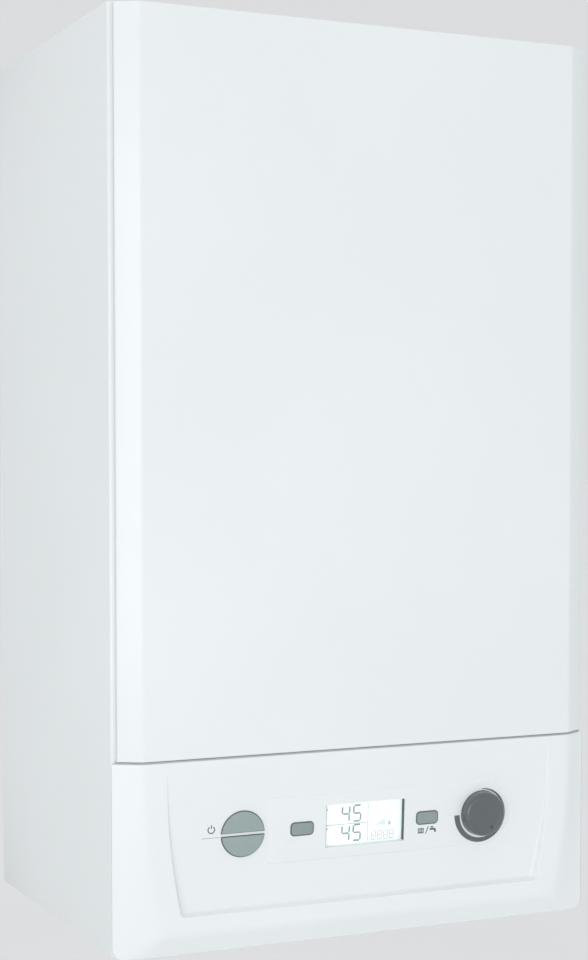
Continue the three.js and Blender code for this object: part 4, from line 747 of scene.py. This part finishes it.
# -------------------------------------------------------------------- controls
def capped(outline, edge, crown):
    """A button's cap: straight wall, rounded edge and a slightly domed face."""
    loops = [[floor_place(u, CAP_REAR, v) for u, v in outline]]
    for angle in quarter_turn(5):
        amount = edge * (1 - math.cos(angle))
        d = -PROUD + edge * (1 - math.sin(angle))
        loops.append([floor_place(u, d, v) for u, v in inset(outline, amount)])
    last = inset(outline, edge)
    cu = sum(point[0] for point in last) / len(last)
    cv = sum(point[1] for point in last) / len(last)
    domes = 6
    for k in range(1, domes):
        part = 1 - k / domes
        d = -PROUD - crown * (1 - part * part)
        loops.append([floor_place(cu + (u - cu) * part, d, cv + (v - cv) * part) for u, v in last])
    bm = bmesh.new()
    rings(bm, loops)
    return from_bmesh("cap", bm)


def combined(name, parts):
    bm = bmesh.new()
    for part in parts:
        bm.from_mesh(part.data)
        bpy.data.objects.remove(part, do_unlink=True)
    return from_bmesh(name, bm)


for side, node in ((1, "upper_round_button"), (-1, "lower_round_button")):
    cap = capped(half_disc(side, ROUND_R, SPLIT), edge=0.7, crown=0.35)
    foot = floor_prism("foot", half_disc(side, ROUND_R + 1, SPLIT - 1), CAP_FLANGE)
    stem = floor_prism("stem", circle(-ROUND_X, side * ROUND_R * 0.5, STEM_R, 24), CAP_STEM)
    dress(combined(node.replace("button", "cap"), [cap, foot, stem]), node, angle=45)

for side, node in ((-1, "left_small_button"), (1, "right_small_button")):
    cap = capped(small_outline(side * SMALL_X, 0), edge=0.8, crown=0.25)
    foot = floor_prism("foot", small_outline(side * SMALL_X, 1), CAP_FLANGE)
    stem = floor_prism("stem", circle(side * SMALL_X, 0, STEM_R, 24), CAP_STEM)
    dress(combined(node.replace("button", "cap"), [cap, foot, stem]), node, SMALL_GREY, angle=45)


def knob():
    """The turned knob with a dished face, and the dark dot in its dimple."""
    face = -PAD - 8.4
    base = -PAD - 0.5
    wall = KNOB_R - 0.2
    round_in, round_down = 2.8, 3.2
    stem_end, stem_r = 13.0, 3.0
    dish_r, dish, swell = 13.6, 0.34, 0.22
    # Radius and depth, from the stem's end to the middle of the face
    profile = [
        (0.01, stem_end), (stem_r - 0.1, stem_end), (stem_r, stem_end - 0.2), (stem_r, base),
        (KNOB_R - 0.5, base), (KNOB_R - 0.1, base - 0.25), (KNOB_R, base - 0.7),
        (KNOB_R - 0.05, base - 2.5), (wall, face + round_down),
    ]
    profile += [
        (wall - round_in * (1 - math.cos(angle)), face + round_down - round_down * math.sin(angle))
        for angle in quarter_turn(8, 1)
    ]
    profile += [
        (KNOB_R - 3.5, face), (KNOB_R - 4.1, face + 0.06),
        (KNOB_R - 4.8, face + 0.26), (KNOB_R - 5.4, face + dish),
    ]
    profile += [
        (radius, face + dish + swell * (1 - (radius / dish_r) ** 2))
        for radius in (12.0, 9.0, 6.0, 3.0, 0.01)
    ]
    bm = bmesh.new()
    rings(bm, [
        [
            floor_place(ROUND_X + radius * math.cos(angle), d, radius * math.sin(angle))
            for angle in full_turn(128)
        ]
        for radius, d in profile
    ])
    obj = from_bmesh("knob_turned", bm)

    # A bowl that starts above the face, for the dimple
    dot_u, dot_v = ROUND_X + DOT_REACH * math.sin(DOT_ANGLE), DOT_REACH * math.cos(DOT_ANGLE)
    dimple_r, dimple_depth, dot_r = 1.45, 0.9, 1.02
    bowl = []
    for i, angle in enumerate(quarter_turn(6)[:-1]):
        above = 1.5 if i == 0 else 0
        bowl.append((dimple_r * math.cos(angle), face + 0.3 + dimple_depth * math.sin(angle) - above))
    tool = bmesh.new()
    rings(tool, [
        [floor_place(dot_u + radius * math.cos(turn), d, dot_v + radius * math.sin(turn))
         for turn in full_turn(24)]
        for radius, d in bowl
    ])
    carve(obj, from_bmesh("dimple", tool))
    dress(obj, "control_knob", angle=32)
    spot = floor_prism("knob_spot", circle(dot_u, dot_v, dot_r, 24), (face + 0.78, face + 0.9))
    dress(spot, material=LINING, body="control_knob")


knob()


def rims():
    """Painted shade: dark rims in the gaps round the buttons and at the knob's foot, standing for the
    shade that falls there.
    """
    clear, inner_wall = 0.08, 1.8
    shapes = []
    for side, name in ((1, "upper_button_gap_shade"), (-1, "lower_button_gap_shade")):
        inner = half_disc(side, ROUND_R + clear, SPLIT - clear)
        outer = half_disc(side, ROUND_R + 0.85, SPLIT - GAP - 0.1)
        shapes.append((name, 0.0, inner_wall, inner, outer))
    for side, name in ((-1, "left_button_gap_shade"), (1, "right_button_gap_shade")):
        x = side * SMALL_X
        shapes.append((name, -PAD, inner_wall, small_outline(x, clear), small_outline(x, 1.0)))
    inner, outer = circle(ROUND_X, 0, KNOB_R - 1.0, 96), circle(ROUND_X, 0, KNOB_R + 0.28, 96)
    shapes.append(("knob_shadow_ring", -PAD, 0.3, inner, outer))
    for name, face, wall, inner, outer in shapes:
        profile = (
            (face + 0.1, outer), (face - 0.1, outer), (face - 0.16, inner),
            (face + wall, inner), (face + 0.1, outer),
        )
        bm = bmesh.new()
        rings(bm, [[floor_place(u, d, v) for u, v in line] for d, line in profile], False)
        dress(from_bmesh(name, bm), material=GAP_SHADE, body="control_box", angle=30)


def seam_strip():
    """The grey strip behind the seam, which follows the chamfers; its grey is painted shade, standing
    for the shade in the seam's gap.
    """
    strip = [
        (-213.2, -304.4), (-194.3, -315.3), (194.3, -315.3), (213.2, -304.4),
        (208, -304.1), (193, -311.5), (-193, -311.5), (-208, -304.1),
    ]
    bm = bmesh.new()
    rings(bm, [[place(x, y, z) for x, y in strip] for z in SEAM_STRIP])
    dress(from_bmesh("seam_strip", bm), material=SEAM_SHADE, body="control_box")


rims()
seam_strip()


# -------------------------------------------------------------- display and ink
def printed(name, shapes, d, material):
    """Thin marks standing just proud of a face of the tilted floor."""
    thick = 0.03
    bm = bmesh.new()
    for outline in shapes:
        rings(bm, [[floor_place(u, depth, v) for u, v in outline] for depth in (d, d - thick)])
    dress(from_bmesh(name, bm), material=material, body="control_box", angle=30)


def bar(u0, v0, u1, v1, width):
    start, end = Vector((u0, v0)), Vector((u1, v1))
    side = (end - start).normalized().orthogonal() * width / 2
    return [tuple(start - side), tuple(end - side), tuple(end + side), tuple(start + side)]


def arc_band(u, v, radius, width, start, end, steps):
    outer = circle(u, v, radius + width / 2, steps, start, end)
    inner = circle(u, v, radius - width / 2, steps, start, end)
    return outer + list(reversed(inner))


SEGMENTS = {"4": "fgbc", "5": "afgcd", "8": "abcdefg"}


def digit(code, u, v, width, height, line):
    """Seven-segment figure with its lower left corner at u, v."""
    half = height / 2
    lean = 0.04
    tip = line / 2
    trim = line * 0.12
    ends = {
        "a": ((0, height), (width, height)), "g": ((0, half), (width, half)), "d": ((0, 0), (width, 0)),
        "f": ((0, half), (0, height)), "b": ((width, half), (width, height)),
        "e": ((0, 0), (0, half)), "c": ((width, 0), (width, half)),
    }
    shapes = []
    for key in SEGMENTS[code]:
        (p0, q0), (p1, q1) = ends[key]
        if q0 == q1:
            p0, p1 = p0 + trim, p1 - trim
            shape = [
                (p0, q0), (p0 + tip, q0 + tip), (p1 - tip, q0 + tip),
                (p1, q0), (p1 - tip, q0 - tip), (p0 + tip, q0 - tip),
            ]
        else:
            q0, q1 = q0 + trim, q1 - trim
            shape = [
                (p0, q0), (p0 + tip, q0 + tip), (p0 + tip, q1 - tip),
                (p0, q1), (p0 - tip, q1 - tip), (p0 - tip, q0 + tip),
            ]
        shapes.append([(u + p + lean * q, v + q) for p, q in shape])
    return shapes


# The lit plate lies behind the window, and the marks just in front of it.
PLATE_MARGIN = 2
PLATE_SPAN = (5.05, 5.18)
MARKS_D = 5.04
plate_u, plate_v = SCREEN_W / 2 + PLATE_MARGIN, SCREEN_H / 2 + PLATE_MARGIN
plate = rectangle(-plate_u, plate_u, -plate_v, plate_v, radius=SCREEN_CORNER, steps=3)
dress(floor_prism("screen_plate", plate, PLATE_SPAN), material=GLOW, body="control_box")

# Dark linings at the window's left and right ends
LINING_THICK = 0.4
LINING_SPAN = (-PAD + 0.25, 3.2)
lining_v = SCREEN_H / 2 - LINING_THICK
for side, name in ((-1, "left_screen_strip"), (1, "right_screen_strip")):
    ends = sorted((side * SCREEN_W / 2, side * SCREEN_W / 2 - side * LINING_THICK))
    strip = rectangle(*ends, -lining_v, lining_v, radius=0.15, steps=2)
    dress(floor_prism(name, strip, LINING_SPAN), material=LINING, body="control_box", angle=30)

# Width, height and line of the figures
LARGE_FIGURE = (6.6, 13.0, 1.55)
FAINT_FIGURE = (3.6, 7.0, 0.75)

# Two rows of large figures, with the rules between the display's fields
figures = []
for low_v in (to_v(91.5), to_v(75.3)):
    figures += digit("4", -19.0, low_v, *LARGE_FIGURE)
    figures += digit("5", -8.6, low_v, *LARGE_FIGURE)
printed("screen_figures", figures, MARKS_D, SEGMENT)
printed("screen_rules", [
    bar(-34.4, to_v(89.6), 4.6, to_v(89.6), 0.7),
    bar(5.0, to_v(73.8), 5.0, to_v(105.2), 0.6),
], MARKS_D, SEGMENT_SOFT)

# Empty small figures and a row of growing bars
faint_marks = []
for i in range(4):
    faint_marks += digit("8", 8.6 + i * 5.6, to_v(74.6), *FAINT_FIGURE)
for i in range(5):
    bar_u = 12.5 + i * 1.9
    faint_marks.append(bar(bar_u, to_v(86.2), bar_u, to_v(87.4 + i * 1.0), 1.1))
printed("screen_marks", faint_marks, MARKS_D, SEGMENT_FAINT)
drop = [
    (25.0 + 1.35 * math.sin(angle), to_v(87.6) + 1.9 * math.cos(angle) - 0.5 * math.sin(angle) ** 2)
    for angle in full_turn(20)
]
printed("screen_flame", [drop], MARKS_D, SEGMENT_SOFT)
printed("screen_corner_marks", [
    bar(-33.6, to_v(102.8), -31.8, to_v(102.8), 1.6),
    bar(-33.6, to_v(86.6), -31.8, to_v(86.6), 1.6),
], MARKS_D, SEGMENT_FAINT)

# Just in front of the tilted floor, and of the raised band
FLOOR_INK_D = 0.02
BAND_INK_D = -PAD + 0.01

# The on/off sign and the thin rule beside the round button
power_u, power_v = -136.7, to_v(95.8)
printed("power_mark", [
    arc_band(power_u, power_v, 2.8, 0.95, math.radians(125), math.radians(415), 36),
    bar(power_u, power_v + 0.9, power_u, power_v + 3.9, 0.95),
], FLOOR_INK_D, INK)
printed("power_rule", [bar(-145.0, to_v(89.2), -129.8, to_v(89.2), 0.45)], FLOOR_INK_D, INK_SOFT)

# The arc round the knob swells over its 270 degrees.
ARC_INNER_R = 20.7
ARC_V = -0.55
ARC_THIN, ARC_GROWTH, ARC_POWER = 0.5, 4.5, 0.7
ARC_STEPS = 96
arc_outer, arc_inner = [], []
for k in range(ARC_STEPS + 1):
    theta = math.radians(270.0 * k / ARC_STEPS)
    sine, cosine = math.sin(theta), math.cos(theta)
    outer_r = ARC_INNER_R + (ARC_THIN + ARC_GROWTH * (k / ARC_STEPS) ** ARC_POWER)
    arc_outer.append((ROUND_X + outer_r * sine, ARC_V + outer_r * cosine))
    arc_inner.append((ROUND_X + ARC_INNER_R * sine, ARC_V + ARC_INNER_R * cosine))
printed("knob_arc", [arc_outer + list(reversed(arc_inner))], BAND_INK_D, INK)

# Below the right small button: a radiator, a stroke and a tap
radiator_u, tap_u = 52.0, 63.4
mark_v = to_v(79.6)
marks = []
for i in range(4):
    u = radiator_u + (i - 1.5) * 1.5
    marks.append(bar(u, mark_v - 2.3, u, mark_v + 2.3, 0.9))
for v in (-1.6, 1.6):
    marks.append(bar(radiator_u - 2.7, mark_v + v, radiator_u + 2.7, mark_v + v, 0.7))
marks.append(bar(56.4, to_v(76.8), 59.0, to_v(82.6), 0.85))
tap = [
    (-3.0, 1.7), (1.4, 1.7), (2.8, 0.7), (3.1, -2.0), (1.4, -2.0), (1.2, -0.3), (0.3, 0.0), (-3.0, 0.0),
]
marks.append([(tap_u + u, mark_v + v) for u, v in tap])
marks.append(bar(tap_u - 0.9, mark_v + 1.5, tap_u - 0.9, mark_v + 2.9, 0.9))
marks.append(bar(tap_u - 2.2, mark_v + 2.9, tap_u + 0.4, mark_v + 2.9, 0.8))
printed("button_marks", marks, BAND_INK_D, INK)


# ------------------------------------------------------------ the other pieces
def refine(node):
    """The node's own shape with broken edges and soft shading."""
    sharp = 35
    bm = bmesh.new()
    bm.from_mesh(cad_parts[node].data)
    bmesh.ops.remove_doubles(bm, verts=bm.verts, dist=FINE_WELD)
    bmesh.ops.dissolve_limit(bm, angle_limit=math.radians(0.5), verts=bm.verts, edges=bm.edges)
    piece = from_bmesh(node + "_shape", bm)
    modifier = piece.modifiers.new("edges", "BEVEL")
    modifier.width = BROKEN_EDGE / 1000
    modifier.segments = 2
    modifier.limit_method = "ANGLE"
    modifier.angle_limit = math.radians(sharp)
    modifier.use_clamp_overlap = True
    settle(piece)
    dress(piece, node, angle=sharp)


REPLACED = {
    "front_panel", "left_side_panel", "right_side_panel", "fascia", "upper_round_button",
    "lower_round_button", "left_small_button", "right_small_button", "control_knob",
}
KEPT = ("display_window", "display_module")
for node_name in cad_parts:
    if node_name in KEPT:
        for material_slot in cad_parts[node_name].material_slots:
            material_slot.material = MATERIALS[NODE_SLOT[node_name]]
    elif node_name not in REPLACED:
        refine(node_name)


# ---------------------------------------------------------------------- setting
# From here on in metres.
GROUND_Z, GROUND_HALF = -1.12, 120.0


def pale_floor():
    """The plain floor, which reaches far beyond the view."""
    bm = bmesh.new()
    corners = ((-1, -1), (1, -1), (1, 1), (-1, 1))
    bm.faces.new([bm.verts.new((x * GROUND_HALF, y * GROUND_HALF, GROUND_Z)) for x, y in corners])
    mesh = bpy.data.meshes.new("ground")
    bm.to_mesh(mesh)
    bm.free()
    ground = bpy.data.objects.new("ground", mesh)
    SCENE.collection.objects.link(ground)
    mat, tree, shader, coords = graph("ground_look")
    clouds = noise(tree, stretched(tree, coords, (1, 1, 1)), 2.0, 2.0)
    colours = ramp(tree, clouds, (0.3, (0.80, 0.80, 0.80, 1)), (0.7, (0.82, 0.82, 0.82, 1)))
    tree.links.new(colours, shader.inputs["Base Color"])
    shader.inputs["Roughness"].default_value = 0.8
    mesh.materials.append(mat)


def sky():
    """Soft light, a little stronger from above, and a plain grey where it is seen or mirrored."""
    world = bpy.data.worlds.new("studio")
    SCENE.world = world
    world.use_nodes = True
    tree = world.node_tree
    background = tree.nodes["Background"]
    background.inputs["Color"].default_value = (0.97, 0.985, 1.0, 1)
    toward = tree.nodes.new("ShaderNodeTexCoord")
    split = tree.nodes.new("ShaderNodeSeparateXYZ")
    tree.links.new(toward.outputs["Generated"], split.inputs[0])
    strength = remap(tree, split.outputs["Z"], 0.78, 0.98, 0.0, 1.0)
    tree.links.new(strength, background.inputs["Strength"])
    seen = tree.nodes.new("ShaderNodeBackground")
    seen.inputs["Color"].default_value = (0.710, 0.720, 0.731, 1)
    seen.inputs["Strength"].default_value = 1.0
    path = tree.nodes.new("ShaderNodeLightPath")
    mix = tree.nodes.new("ShaderNodeMixShader")
    ray = path.outputs["Is Camera Ray"]
    for kind in ("Is Glossy Ray", "Is Transmission Ray"):
        either = tree.nodes.new("ShaderNodeMath")
        either.operation = "MAXIMUM"
        tree.links.new(ray, either.inputs[0])
        tree.links.new(path.outputs[kind], either.inputs[1])
        ray = either.outputs[0]
    tree.links.new(ray, mix.inputs["Fac"])
    tree.links.new(background.outputs[0], mix.inputs[1])
    tree.links.new(seen.outputs[0], mix.inputs[2])
    tree.links.new(mix.outputs[0], tree.nodes["World Output"].inputs["Surface"])


def lamp(name, power, size, spot, aim):
    """A square area lamp that the camera doesn't see."""
    data = bpy.data.lights.new(name, "AREA")
    data.energy = power
    data.shape = "RECTANGLE"
    data.size = data.size_y = size
    obj = bpy.data.objects.new(name, data)
    obj.location = spot
    obj.rotation_euler = (Vector(aim) - Vector(spot)).to_track_quat("-Z", "Y").to_euler()
    obj.visible_camera = False
    SCENE.collection.objects.link(obj)


pale_floor()
sky()
lamp("key", power=59, size=3.0, spot=(-2.5, -3.5, -0.65), aim=(0, -0.15, -0.45))
lamp("low", power=3.4, size=1.4, spot=(0.1, -2.1, -1.0), aim=(0.0, -0.3, -0.65))


def camera():
    """Solved from the casing's long edges."""
    data = bpy.data.cameras.new("view")
    data.sensor_fit = "VERTICAL"
    data.sensor_height = 36.0
    data.sensor_width = 36.0 * 588 / 960
    data.lens = 71.96
    data.shift_x = -0.0083
    data.shift_y = 0.0694
    data.clip_end = 60
    obj = bpy.data.objects.new("view", data)
    obj.location = (-0.7065, -1.7141, -0.2699)
    obj.rotation_euler = (math.radians(90 - 2.63), math.radians(0.03), math.radians(-24.88))
    SCENE.collection.objects.link(obj)
    SCENE.camera = obj


camera()
SCENE.view_settings.view_transform = "Standard"
